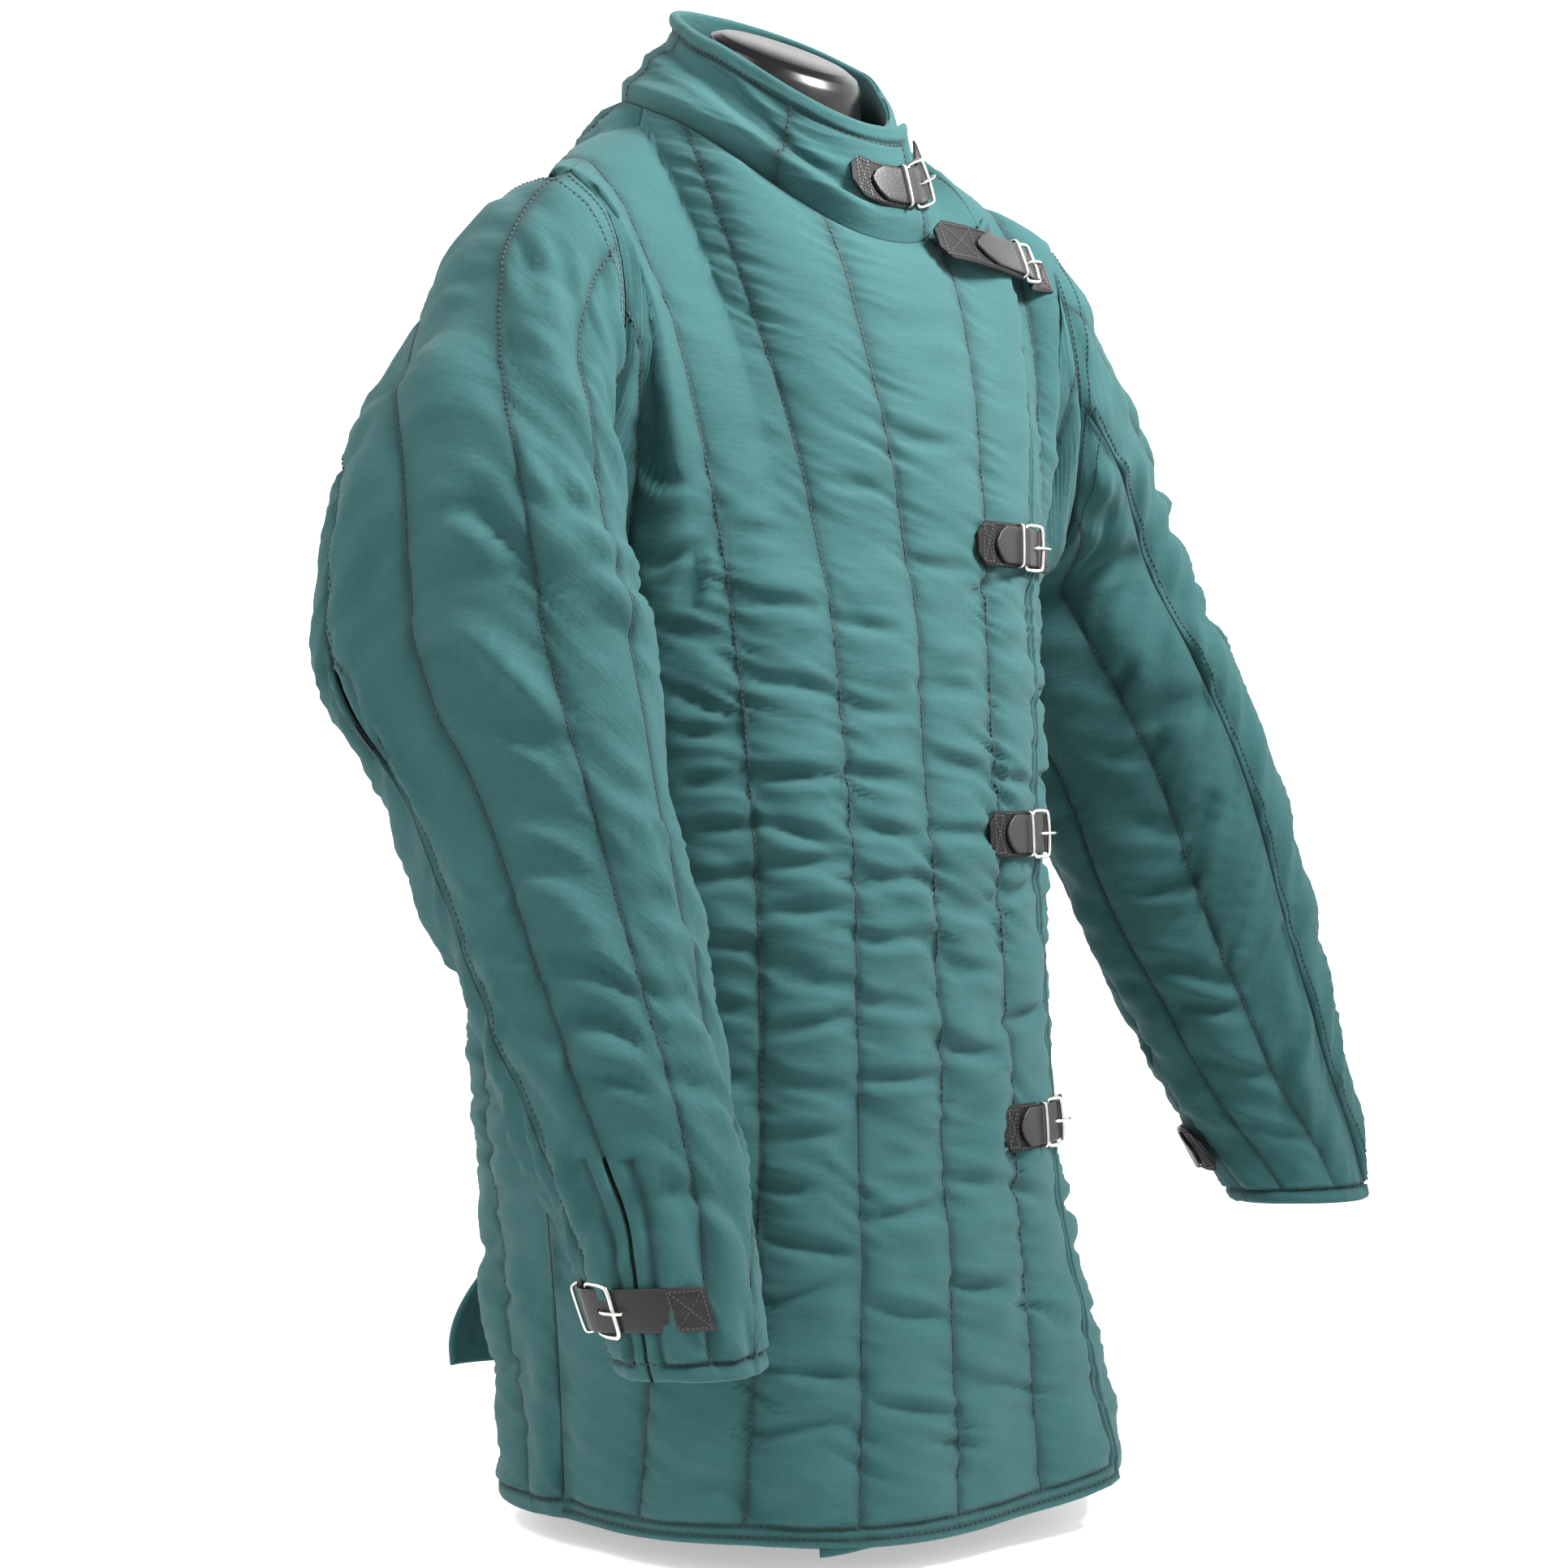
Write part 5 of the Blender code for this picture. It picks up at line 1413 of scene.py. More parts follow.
@dataclass
class Sleeve:
    """One sleeve: its upper and under pieces, elbow vent and cuff slit."""

    cut: SleeveCut
    body: BodyCut
    quilting: Quilting
    flat_outer: tuple[float, float] = (0.3, 0.79)
    flat_under: tuple[float, float] = (0.28, 0.62)
    area_outer: float = 0.16
    area_under: float = 0.12
    vent_z: float = 0.51
    vent_half_length: float = 0.034
    vent_half: float = 0.0045
    slit_top: float = 0.262
    slit_half: float = 0.0026
    slit_channel: float = 3.0
    folds: list[Fold] = field(default_factory=list)
    relief: Relief = Relief(pucker=0.0027, pucker_step=0.0105, wave=0.005, wave_step=0.06, dent=0.003)
    seed: int = 20
    channel: float = 0.05

    def grid(self) -> None:
        """Works out the ring of columns, its rows and the wall's directions."""
        share = np.arange(SLEEVE_COLUMNS) / SLEEVE_COLUMNS
        share = share - 0.62 * np.sin(2 * pi * share) / (2 * pi)
        self.channels = (np.arange(8)[:, None] + share).ravel()
        self.cut.build(self.body, 0.5 + self.channels / 4)
        points, runs = self.cut.grid, self.cut.runs
        rows = np.arange(len(points), dtype=float)
        mean_left = (runs[-1] - runs).mean(axis=1)
        extra = np.interp(CUFF_EDGE, mean_left[::-1], rows[::-1])
        rows = np.concatenate([rows[mean_left > 0.0155], extra[::-1], [len(points) - 1.0]])
        low = np.minimum(rows.astype(int), len(points) - 2)
        part = (rows - low)[:, None]

        def read(values: Array) -> Array:
            """The values at fractional rows."""
            share_of = part[..., None] if values.ndim == 3 else part
            return values[low] * (1 - share_of) + values[low + 1] * share_of

        self.points, self.walls, self.runs = read(points), unit(read(self.cut.walls)), read(runs)

    def piece(self, start: int, slit: bool) -> Shell:
        """The wall between the two seams, four channels apart.

        Args:
            start: The first whole channel.
            slit: Whether the cuff slit is in it.

        Returns:
            The wall.
        """
        q, count = self.quilting, len(self.channels)
        ids = np.arange(start * SLEEVE_COLUMNS, (start + 4) * SLEEVE_COLUMNS + 1)
        c, cols = np.append(self.channels, 8.0)[ids], ids % count
        point, wall, run = self.points[:, cols], self.walls[:, cols], self.runs[:, cols]
        left = run[-1] - run
        z = point[..., 2].mean(axis=1)[:, None]
        thick = np.minimum(q.across(c[None], q.puffed), q.crease_wall + q.crease_growth * run)
        ahead = unit(np.roll(self.points, -1, axis=1) - np.roll(self.points, 1, axis=1))[:, cols]
        opening = self.vent_half * np.exp(-((z - self.vent_z) / self.vent_half_length) ** 4)
        from_rear = np.abs(c - 4)[None]
        shift = ahead * ((1.0 if start else -1.0) * opening * (1 - ease(0.0, 0.55, from_rear)))[..., None]
        shift[:, 0] += ahead[:, 0] * q.seam_half_gap
        shift[:, -1] -= ahead[:, -1] * q.seam_half_gap
        shift[0] += np.array([self.cut.side.value * q.ring_half_gap, 0, 0])
        beside = 0.5 * ease(0.6, 1.0, np.abs(z - self.vent_z) / (self.vent_half_length * 1.25))
        away = np.minimum(left, from_rear * self.channel + beside)
        if slit:
            above = 0.5 * ease(self.slit_top - 0.001, self.slit_top + 0.008, z)
            away = np.minimum(away, np.abs(c - self.slit_channel)[None] * 0.036 + above)
        lift = self.relief.lift(c[None], self.channel, run, self.seed)
        lift = lift + sum(fold.shape(c[None], self.channel, run) for fold in self.folds)
        seams = ease(0.0, 0.1, c - start) * ease(0.0, 0.1, start + 4 - c)
        lift = lift * ease(0.0, 0.022, run) * (0.1 + 0.9 * seams[None]) * (0.35 + 0.65 * ease(0.002, 0.022, left))
        edge = Edge(rows=(0.0105,))
        drawn, thick = edge.wall(thick, away)
        # painted shade of the stitched valleys and the edge's row
        groove = edge.painted(c, away)
        outer = point + wall * (thick + np.maximum(lift, -0.6 * thick))[..., None] + shift
        inner = point + wall * drawn[..., None] + shift
        uv = np.stack([np.broadcast_to(c[None] * self.channel, run.shape), run], axis=-1)
        self.kept = (outer, wall, c, run, left, away)
        rows, wide = run.shape
        number = np.arange(rows * wide).reshape(rows, wide)
        high = number.copy()
        parts = [[inner.reshape(-1, 3)], [outer.reshape(-1, 3)], [uv.reshape(-1, 2)], [groove.ravel()]]
        if slit:
            s = int(np.argmin(np.abs(c - self.slit_channel)))
            down = np.nonzero(z[:, 0] < self.slit_top)[0]
            give = ahead[down, s] * self.slit_half
            high[down, s] = rows * wide + np.arange(len(down))
            for part, grid, move in zip(parts, (inner, outer, uv, groove), (give, give, 0, 0)):
                part.append(grid[down, s] + move)
                part[0][number[down, s]] = part[0][number[down, s]] - move
        quads = np.stack([high[:-1, :-1], number[:-1, 1:], number[1:, 1:], high[1:, :-1]], axis=-1).reshape(-1, 4)
        inner, outer, uv, groove = (np.concatenate(part) for part in parts)
        return Shell(inner, outer, quads, uv, groove)

    def build(self, name: str, finishes: Finishes, rows: Stitching) -> None:
        """Builds both pieces and adds their stitches.

        Args:
            name: The sleeve's name.
            finishes: The object's materials.
            rows: The stitching that theirs joins.
        """
        self.grid()
        for part, start, flat, area in (("outer", 0, self.flat_outer, self.area_outer),
                                        ("under", 4, self.flat_under, self.area_under)):
            obj = self.piece(start, part == "outer").build(f"{name}_{part}_cloth", finishes.cloth)
            declare(obj, f"{name}_{part}")
            self.stitch(rows)

    def stitch(self, rows: Stitching) -> None:
        """Adds the stitches of the piece built last.

        Args:
            rows: The stitching that they join.
        """
        outer, wall, c, run, left, away = self.kept
        upright = [(line, 0.01) for line in range(int(c[0]) + 1, int(round(c[-1])))]
        if c[0] < 0.5:
            upright += [(0.1, 0.014), (3.9, 0.014)]
        for line, start in upright:
            i = int(np.argmin(np.abs(c - line)))
            keep = (away[:, i] > 0.012) & (run[:, i] > start)
            rows.add(outer[keep, i], wall[keep, i])
        for depths, depth in ((left, 0.0105), (run, 0.0045), (run, 0.0155)):
            j = int(np.argmin(np.abs(depths.mean(axis=1) - depth)))
            rows.add(outer[j], wall[j])


# ------------ collar


@dataclass
class Collar:
    """The standing collar."""

    cut: CollarCut
    quilting: Quilting
    flat: tuple[float, float] = (0.66, 0.085)
    area: float = 0.053
    puff: float = 0.0074
    width: float = 0.058
    relief: Relief = Relief(pucker=0.0024, wave=0.003)
    folds: list[Fold] = field(default_factory=list)
    seed: int = 40
    rows_up: int = 52

    def build(self, finishes: Finishes, rows: Stitching) -> Object:
        """Builds the collar and adds its stitches.

        Args:
            finishes: The object's materials.
            rows: The stitching that its own joins.

        Returns:
            The collar.
        """
        cut, body, q = self.cut, self.cut.body, self.quilting
        stations = np.array(cut.span())
        ends = np.array([0.0, 0.04, 0.09, 0.16]) * 0.62
        n = np.arange((len(stations) - 1) * 8 + 1) / 8
        n = np.unique(np.concatenate([n, ends, len(stations) - 1 - ends]))
        angles = np.interp(n, np.arange(len(stations)), stations)
        v = np.unique(np.concatenate([np.linspace(0, 0.8, self.rows_up), 1 - np.array(COLLAR_EDGE) / 80]))
        a, h = np.meshgrid(angles, v)
        inward = body.neck_tuck(a)
        point, wall = cut.surface(a, h, cut.tuck * inward)
        foot = unit(np.stack([-np.sin(angles), -np.cos(angles), np.full(len(angles), 0.62)], 1))
        give = np.stack([0.53 * np.sin(angles), 0.53 * np.cos(angles), np.full(len(angles), 0.85)], 1)
        base = body.ring(body.neck, angles) - foot * (body.overlap_lift * inward[0])[:, None] + give * q.seam_half_gap
        share = (1 - ease(0.0, 0.1, h))[..., None]
        point = point + (base - point[0])[None] * share
        wall = unit(wall * (1 - share) + foot[None] * share)
        steps = np.linalg.norm(np.diff(point, axis=0), axis=2)
        run = np.concatenate([np.zeros((1, len(angles))), np.cumsum(steps, axis=0)])
        left = run[-1] - run
        along = np.concatenate([[0], np.cumsum(np.linalg.norm(np.diff(point[len(v) // 2], axis=0), axis=1))])
        side = np.minimum(along, along[-1] - along)
        away = np.minimum(left, side[None])
        quilt = n / 4
        thin = q.stitched + 0.001
        thick = thin + (self.puff - thin) * np.abs(np.sin(pi * quilt)) ** 0.5
        thick = np.minimum(thick[None], q.stitched * 0.8 + 0.3 * run)
        edge = Edge(rows=(0.012,), depth=0.0028)
        drawn, thick = edge.wall(thick, away)
        lift = self.relief.lift(quilt[None], self.width, run, self.seed)
        lift = lift + sum(fold.shape(quilt[None], self.width, run) for fold in self.folds)
        lift = lift * ease(0.0, 0.016, run) * (0.35 + 0.65 * ease(0.002, 0.02, away))
        outer = point + wall * (thick + np.maximum(lift, -0.6 * thick))[..., None]
        inner = point + wall * drawn[..., None]
        uv = np.stack([np.broadcast_to(along[None], run.shape), run], axis=-1)
        # the shell's last field is the painted shade of the stitched valleys and the edge's row
        shell = Shell(inner.reshape(-1, 3), outer.reshape(-1, 3), grid_quads(len(n), len(v))[:, ::-1],
                      uv.reshape(-1, 2), edge.painted(quilt, away, 0.0005).ravel())
        obj = shell.build("collar_cloth", finishes.cloth)
        declare(obj, "collar")
        for k in range(1, int(n[-1] / 4 + 0.9)):
            i = int(np.argmin(np.abs(quilt - k)))
            if abs(quilt[i] - k) < 0.02 and side[i] > 0.014:
                keep = (left[:, i] > 0.0125) & (run[:, i] > 0.004)
                rows.add(outer[keep, i], wall[keep, i])
        j = int(np.argmin(np.abs(left.mean(axis=1) - 0.012)))
        rows.add(outer[j, side > 0.011], wall[j, side > 0.011])
        for depth in (along, along[-1] - along):
            i = int(np.argmin(np.abs(depth - 0.012)))
            keep = left[:, i] > 0.012
            rows.add(outer[keep, i], wall[keep, i])
        return obj


# ------------ creases: one end, the other, lift, width
# Ends are a channel coordinate in hundredths and a run in millimetres; lift and width are in millimetres.

FRONT_CREASES = (
    (110, 641, 170, 629, -3), (126, 581, 174, 594, -4), (174, 594, 162, 557, -4), (134, 546, 190, 536, -4),
    (138, 507, 190, 490, -4), (138, 481, 198, 480, -4), (138, 451, 198, 452, -5), (142, 425, 202, 424, -4),
    (146, 393, 202, 396, -4), (146, 358, 202, 353, -4), (158, 320, 202, 313, -4), (166, 277, 198, 268, -4),
    (194, 604, 286, 602, -2), (198, 562, 282, 558, -3), (194, 514, 290, 508, -3), (194, 454, 294, 456, -5),
    (198, 428, 290, 413, -4), (202, 400, 286, 406, -4), (198, 372, 294, 379, -3), (202, 347, 250, 341, -4),
    (218, 336, 298, 331, -4), (202, 302, 294, 314, -4), (198, 276, 294, 267, -4), (202, 240, 278, 245, -3),
    (198, 215, 246, 209, -4), (206, 181, 294, 171, -4), (202, 146, 266, 153, -3), (202, 108, 302, 98, -4),
    (202, 67, 282, 76, -3), (310, 638, 386, 637, -2), (298, 552, 370, 546, -3), (298, 497, 382, 496, -3),
    (298, 460, 386, 452, -5), (294, 428, 382, 420, -4), (294, 396, 386, 394, -4), (294, 357, 386, 360, -3),
    (298, 323, 382, 315, -4), (294, 276, 390, 274, -4), (298, 233, 358, 225, -3), (302, 192, 390, 197, -4),
    (302, 143, 390, 130, -3), (310, 85, 398, 72, -4), (410, 668, 470, 664, -2), (394, 591, 470, 585, -2),
    (386, 515, 478, 508, -3), (390, 470, 482, 459, -4), (394, 424, 482, 418, -4), (390, 381, 478, 367, -4),
    (390, 343, 478, 333, -3), (390, 293, 478, 281, -4), (390, 214, 478, 202, -3), (398, 150, 474, 138, -4),
    (402, 91, 490, 76, -3), (474, 569, 580, 589, -3), (474, 457, 590, 443, -4), (470, 375, 594, 384, -4),
    (490, 300, 574, 304, -4), (482, 202, 558, 182, -3), (502, 130, 550, 102, -3),
)
RIGHT_SLEEVE_CREASES = (
    (272, 335, 207, 390, 7, 12), (281, 352, 228, 421, -8, 10), (272, 403, 219, 434, 5, 10),
    (250, 266, 207, 289, -5, 10), (261, 278, 228, 302, 4, 12), (181, 213, 139, 228, -4, 12),
    (150, 50, 128, 75, -4, 10), (212, 97, 200, 152, -4, 16), (181, 67, 161, 109, -3, 10), (81, 55, 128, 134, -4, 10),
    (161, 238, 50, 163, -4, 7), (150, 265, 50, 196, -4, 7), (150, 307, 61, 241, -3, 7), (161, 350, 61, 267, -3, 7),
    (281, 450, 207, 459, -5, 9), (288, 478, 219, 490, -6, 9), (288, 495, 228, 517, 4, 10), (281, 541, 207, 547, -6, 9),
    (288, 572, 219, 582, -6, 9), (293, 604, 228, 612, -4, 8), (350, 365, 339, 417, -6, 10),
    (372, 320, 372, 405, 4, 10), (361, 256, 303, 316, -4, 14), (407, 443, 312, 525, -5, 10),
    (400, 503, 293, 584, -5, 10), (419, 537, 339, 623, -5, 10), (350, 627, 339, 670, -5, 10),
    (172, 411, 81, 354, -3, 7), (172, 476, 97, 428, -4, 7), (197, 543, 107, 491, -4, 7), (212, 598, 128, 553, -3, 7),
    (261, 679, 139, 631, -3, 8),
)
LEFT_SLEEVE_CREASES = (
    (639, 307, 712, 306, -5, 8), (672, 255, 750, 288, -5, 8), (728, 80, 812, 143, -4, 8), (639, 361, 828, 435, -5, 8),
    (628, 393, 739, 408, -5, 8), (707, 0, 761, 67, -4, 8), (681, 156, 728, 163, -4, 8), (750, 0, 900, 112, -4, 10),
    (707, 186, 807, 255, -4, 8), (619, 434, 761, 472, -4, 8), (588, 482, 781, 531, -3, 7), (661, 205, 728, 214, -4, 8),
    (807, 180, 888, 271, -3, 10),
)
COLLAR_CREASES = (
    (270, 60, 175, 52, -5, 9), (185, 52, 45, 24, -6, 9), (240, 40, 150, 30, 3, 10), (150, 28, 55, 10, 3, 9),
    (460, 55, 360, 35, -3, 9), (680, 30, 570, 50, -3, 9), (890, 50, 790, 30, -3, 10),
)


# ------------ closures


@dataclass(frozen=True)
class StrapCut:
    """A buckled strap's sizes in metres, counted along the strap from the buckle's end bar."""

    leather: float = 0.0022
    patch_half: float = 0.0145
    wire: float = 0.0013
    prong_wire: float = 0.001
    hole_x: float = 0.011
    hole_half: float = 0.003
    hole_radius: float = 0.0017
    end_bar: float = 0.002
    hinge: float = 0.0205
    tab_start: float = 0.0255
    tab_end: float = 0.07
    keeper: float = 0.031
    stations: Table = table("x height drop half", [
        (-0.04, 0.0006, 0.75, 0.012), (-0.027, 0.0002, 0.95, 0.012), (-0.016, 0.0, 1.0, 0.012),
        (-0.0075, 0.0002, 0.55, 0.012), (-0.002, 0.0004, 0.0, 0.012), (0.003, 0.0006, 0.0, 0.012),
        (0.0085, 0.0014, 0.0, 0.012), (0.0135, 0.0024, 0.0, 0.012), (0.0205, 0.0037, 0.0, 0.012),
        (0.027, 0.0034, 0.0, 0.012), (0.036, 0.0031, 0.0, 0.012), (0.046, 0.0031, 0.0, 0.012),
        (0.052, 0.0031, 0.0, 0.0075), (0.0555, 0.0031, 0.0, 0.0015)])


@dataclass
class Closure:
    """One strap and buckle: strap, tab, keeper, frame and prong."""

    name: str
    place: Place
    drop: float
    cut: StrapCut = field(default_factory=StrapCut)
    reach: float = 1.0
    ledge: float = 0.0

    def stretched(self, x: float) -> float:
        """Where a place along the pattern falls on this closure."""
        if x < -0.004:
            return x - self.ledge
        start = self.cut.tab_start
        return x if x < start else start + (x - start) * self.reach

    def strip(self, name: str, xs: Array, heights: Array, halves: Array, finish: Material,
              hole: float | None = None) -> Object:
        """A closed leather strip with eased edges.

        Args:
            name: The object's name.
            xs: Stations along the strip.
            heights: The underside's height at each.
            halves: The half width at each.
            finish: Its material.
            hole: Where along it a round hole is, if it has one.

        Returns:
            The strip.
        """
        cut = self.cut
        across = np.array([-1.0, -0.965, -0.88, -0.66, -0.25, 0.25, 0.66, 0.88, 0.965, 1.0])
        if hole is not None:
            sides = [hole - cut.hole_half, hole + cut.hole_half]
            beside = np.unique(np.concatenate([xs[(xs < hole - 0.004) | (xs > hole + 0.004)], sides]))
            xs, heights, halves = beside, np.interp(beside, xs, heights), np.interp(beside, xs, halves)
        eased = np.interp(np.abs(across), [0, 0.85, 0.965, 1.0], [0, 0.00005, 0.0003, 0.00075])
        spots = [(x, w * half, height, low) for x, height, half in zip(xs, heights, halves)
                 for w, low in zip(across, eased)]
        faces = [tuple(row) for row in grid_quads(len(across), len(xs)).tolist()]
        if hole is not None:
            row = int(np.argmin(np.abs(xs - sides[0])))
            a, b, c, d = faces.pop(row * (len(across) - 1) + 4)
            angles, start, height = 2 * pi * np.arange(16) / 16, len(spots), float(np.interp(hole, xs, heights))
            spots += [(hole + cut.hole_radius * cos(t), cut.hole_radius * sin(t), height, 0.0) for t in angles]
            for corner, after, first in ((c, d, 0), (d, a, 12), (a, b, 8), (b, c, 4)):
                faces += [(corner, start + (first + k) % 16, start + (first + k + 1) % 16) for k in range(4)]
                faces.append((corner, after, start + first))
        inner = [self.place(x, w, height + low * 0.45) for x, w, height, low in spots]
        outer = [self.place(x, w, height + cut.leather - low) for x, w, height, low in spots]
        first = faces[0]
        normal = np.cross(inner[first[1]] - inner[first[0]], inner[first[-1]] - inner[first[0]])
        if normal @ (outer[first[0]] - inner[first[0]]) < 0:
            faces = [face[::-1] for face in faces]
        count = len(inner)
        ends = {(a, b) for face in faces for a, b in zip(face, face[1:] + face[:1])}
        rims = sorted((a, b, b + count, a + count) for a, b in ends if (b, a) not in ends)
        top = [tuple(i + count for i in face) for face in faces]
        mesh = bpy.data.meshes.new(name)
        mesh.from_pydata([tuple(p) for p in [*inner, *outer]], [], top + [face[::-1] for face in faces] + rims)
        mesh.update()
        mesh.shade_smooth()
        mesh.set_sharp_from_angle(angle=radians(50))
        return linked(name, mesh, finish)

    def row(self, rows: Stitching, corners: Sequence[tuple[float, float]], height: float) -> None:
        """Adds a row of stitches on the leather.

        Args:
            rows: The stitching that it joins.
            corners: Its corners, along and across.
            height: The leather's top there.
        """
        spots = []
        for (xa, wa), (xb, wb) in zip(corners, corners[1:]):
            steps = max(2, int(np.hypot(xb - xa, wb - wa) / 0.0015))
            spots += [(xa + (xb - xa) * k / steps, wa + (wb - wa) * k / steps) for k in range(steps)]
        points = np.array([self.place(x, w, height) for x, w in spots])
        rows.add(points, np.array([self.place(x, w, height + 0.004) for x, w in spots]) - points)

    def build(self, finishes: Finishes, rows: Stitching) -> None:
        """Builds the closure's five pieces and their stitches.

        Args:
            finishes: The object's materials.
            rows: Stitching on leather.
        """
        cut, table = self.cut, self.cut.stations
        knots = table.knots()
        plain = np.unique(np.concatenate([np.linspace(-0.04, 0.052, 52), knots, [0.0535, 0.0548, 0.0555]]))
        xs = np.array([self.stretched(float(x)) for x in plain])
        height, drop, halves = (np.interp(plain, knots, table.values[name]) for name in ("height", "drop", "half"))
        tab = np.linspace(cut.tab_start, self.stretched(cut.tab_end), 26)
        point = cut.patch_half * np.clip((tab[-1] - tab) / 0.0075 * 0.55 + 0.45, 0, 1)
        far, near, rail, bend = 0.0044, 0.0019, 0.0146, 0.0022
        end, hinge, k = cut.end_bar, cut.hinge, cut.keeper
        frame = [(end, -rail + bend, far), (end, 0, far + 0.0006), (end, rail - bend, far), (end + bend, rail, far),
                 (hinge - bend, rail, near), (hinge, rail - bend, near), (hinge, 0, near), (hinge, -rail + bend, near),
                 (hinge - bend, -rail, near), (end + bend, -rail, far)]
        prong = [(0.012, 0.0001, 0.0014), (0.0098, 0, 0.0058), (end, 0, 0.0078), (-0.0035, 0, 0.0076)]
        arch = [(k, -0.0138, 0.0032), (k, -0.0134, 0.0066), (k, -0.011, 0.0074)]
        arch += [(k, -w, h) for _, w, h in arch[::-1]]

        def bent(part: str, spots: Sequence[tuple[float, ...]], radius: float, closed: bool = False,
                 steps: int = 2) -> Object:
            """One of the closure's wires, through places on the jacket."""
            return wire(f"{self.name}_{part}_wire", [self.place(*spot) for spot in spots], radius, finishes.nickel,
                        closed, steps)

        leather = f"{self.name}_%s_leather"
        for part, obj in {
                "strap": self.strip(leather % "strap", xs, height - self.drop * ease(0, 1, drop), halves,
                                    finishes.leather, cut.hole_x),
                "tab": self.strip(leather % "tab", tab, np.full(26, 0.0004), point, finishes.patch),
                "buckle": bent("buckle", frame, cut.wire, True),
                "prong": bent("prong", prong, cut.prong_wire, steps=3),
                "keeper": bent("keeper", arch, cut.prong_wire)}.items():
            declare(obj, f"{self.name}_{part}")
        self.sew(rows, tab)

    def sew(self, rows: Stitching, tab: Array) -> None:
        """Adds the crossed box of stitches on the tab and on the strap's root, and the tab's edge rows.

        Args:
            rows: Stitching on leather.
            tab: The tab's stations.
        """
        table, leather = self.cut.stations, self.cut.leather
        top, edge, inner = 0.0004 + leather, 0.0128, float(tab[0]) + 0.002
        low, high = self.stretched(table.knots()[-1]) + 0.0015, float(tab[-1]) - 0.0045
        root = self.stretched(-0.04) + 0.002
        height, drop = (float(np.interp(root + 0.007 + self.ledge, table.knots(), table.values[name]))
                        for name in ("height", "drop"))
        boxes = [(low, high, 0.0115, top)] if high - low > 0.004 else []
        for a, b, half, h in (*boxes, (root, root + 0.014, 0.01, height + leather - self.drop * drop + 0.0002)):
            box = [(a, -half), (b, -half), (b, half), (a, half), (a, -half)]
            for corners in (box, box[:3:2], box[3:0:-2]):
                self.row(rows, corners, h)
        if low - inner > 0.004:
            for w in (edge, -edge):
                self.row(rows, [(inner, w), (low - 0.002, w)], top)


@dataclass
class Places:
    """Where closures lie on the jacket."""

    body: BodyCut
    quilting: Quilting
    inset: float = 0.12
    shoulder_ends: tuple[float, float] = (7.45, 4.5)
    shoulder_start: float = -0.042
    shoulder_z: float = 0.812
    shoulder_lift: float = 0.0124

    def on_front(self, z: float) -> Place:
        """Places on the overlap's outside at height z, counted from its free edge."""
        body, stand = self.body, self.quilting.puffed - self.quilting.stitched
        width = float(body.levels.read("channel", z))
        spots = {}

        def place(x: float, w: float, h: float) -> Array:
            """A point along, across and above the line."""
            u = 6.0 - self.inset - x / width
            key = (round(x, 6), round(w, 6))
            if key not in spots:
                t = body.level(u, z + w)
                spots[key] = (body.point(u, t), body.wall(u, t))
            point, wall = spots[key]
            return point + wall * (stand + h)
        return place

    def on_shoulder(self) -> Place:
        """Places on a smooth line from the overlap's top corner over the left front beneath it."""
        body = self.body
        line = np.array([body.point(u, body.level(u, self.shoulder_z)) for u in np.linspace(*self.shoulder_ends, 25)])
        length = np.append(0, np.cumsum(np.linalg.norm(np.diff(line, axis=0), axis=1))) + self.shoulder_start
        curve = [np.polyfit(length, line[:, axis], 3) for axis in range(3)]
        up = unit(np.array([0.0, 0.42, 0.9]))

        def place(x: float, w: float, h: float) -> Array:
            """A point along, across and above the line."""
            middle = np.array([np.polyval(terms, x) for terms in curve])
            along = unit(np.array([np.polyval(np.polyder(terms), x) for terms in curve]))
            out = unit(np.cross(up, along))
            return middle + up * w + out * (self.shoulder_lift + h)
        return place

    def on_collar(self, collar: CollarCut, v_middle: float) -> Place:
        """Places on the collar's outside, counted from its free end.

        Args:
            collar: The collar.
            v_middle: The share of its height where the line runs.

        Returns:
            The places.
        """
        start, half = collar.span()[0], 0.017 / collar.height

        def surface(angle: float, v: float) -> Array:
            """One point of the collar's plain inside."""
            return collar.surface(np.array([angle]), np.array([v]), 0.0)[0][0]

        def place(x: float, w: float, h: float) -> Array:
            """A point along, across and above the line."""
            angle = start + x / 0.088
            low, middle, high = (surface(angle, v_middle + d) for d in (-half, 0.0, half))
            side = surface(angle + 0.05, v_middle) - surface(angle - 0.05, v_middle)
            up = unit(high - low)
            wall = unit(np.cross(up, side))
            clear = max(0.0, float((low - middle) @ wall))
            return middle + up * w + wall * (clear + 0.0076 + h)
        return place

    def on_cuff(self, sleeve: SleeveCut, z_middle: float, k_start: float = 1.2) -> Place:
        """Places on a sleeve's outside near the cuff, counted around.

        Args:
            sleeve: The sleeve.
            z_middle: The line's height.
            k_start: Where round the sleeve it starts.

        Returns:
            The places.
        """
        table, puffed = sleeve.levels, self.quilting.puffed

        def place(x: float, w: float, h: float) -> Array:
            """A point along, across and above the line."""
            z = z_middle + w
            girth = pi * (float(table.read("wide", z)) + float(table.read("thin", z))) * 1.06
            k = k_start + sleeve.seam_turn(z) + 2 * x / girth
            around = sleeve.section(z, np.array([k - 0.02, k, k + 0.02]))
            higher = sleeve.section(z + 0.01, np.array([k]))[0]
            wall = unit(np.cross(around[2] - around[0], higher - around[1]))
            centre = np.array([float(table.read("x", z)), float(table.read("y", z)), z])
            if wall @ (around[1] - centre) < 0:
                wall = -wall
            return around[1] + wall * (puffed + h)
        return place


# ------------ form, stand and studio


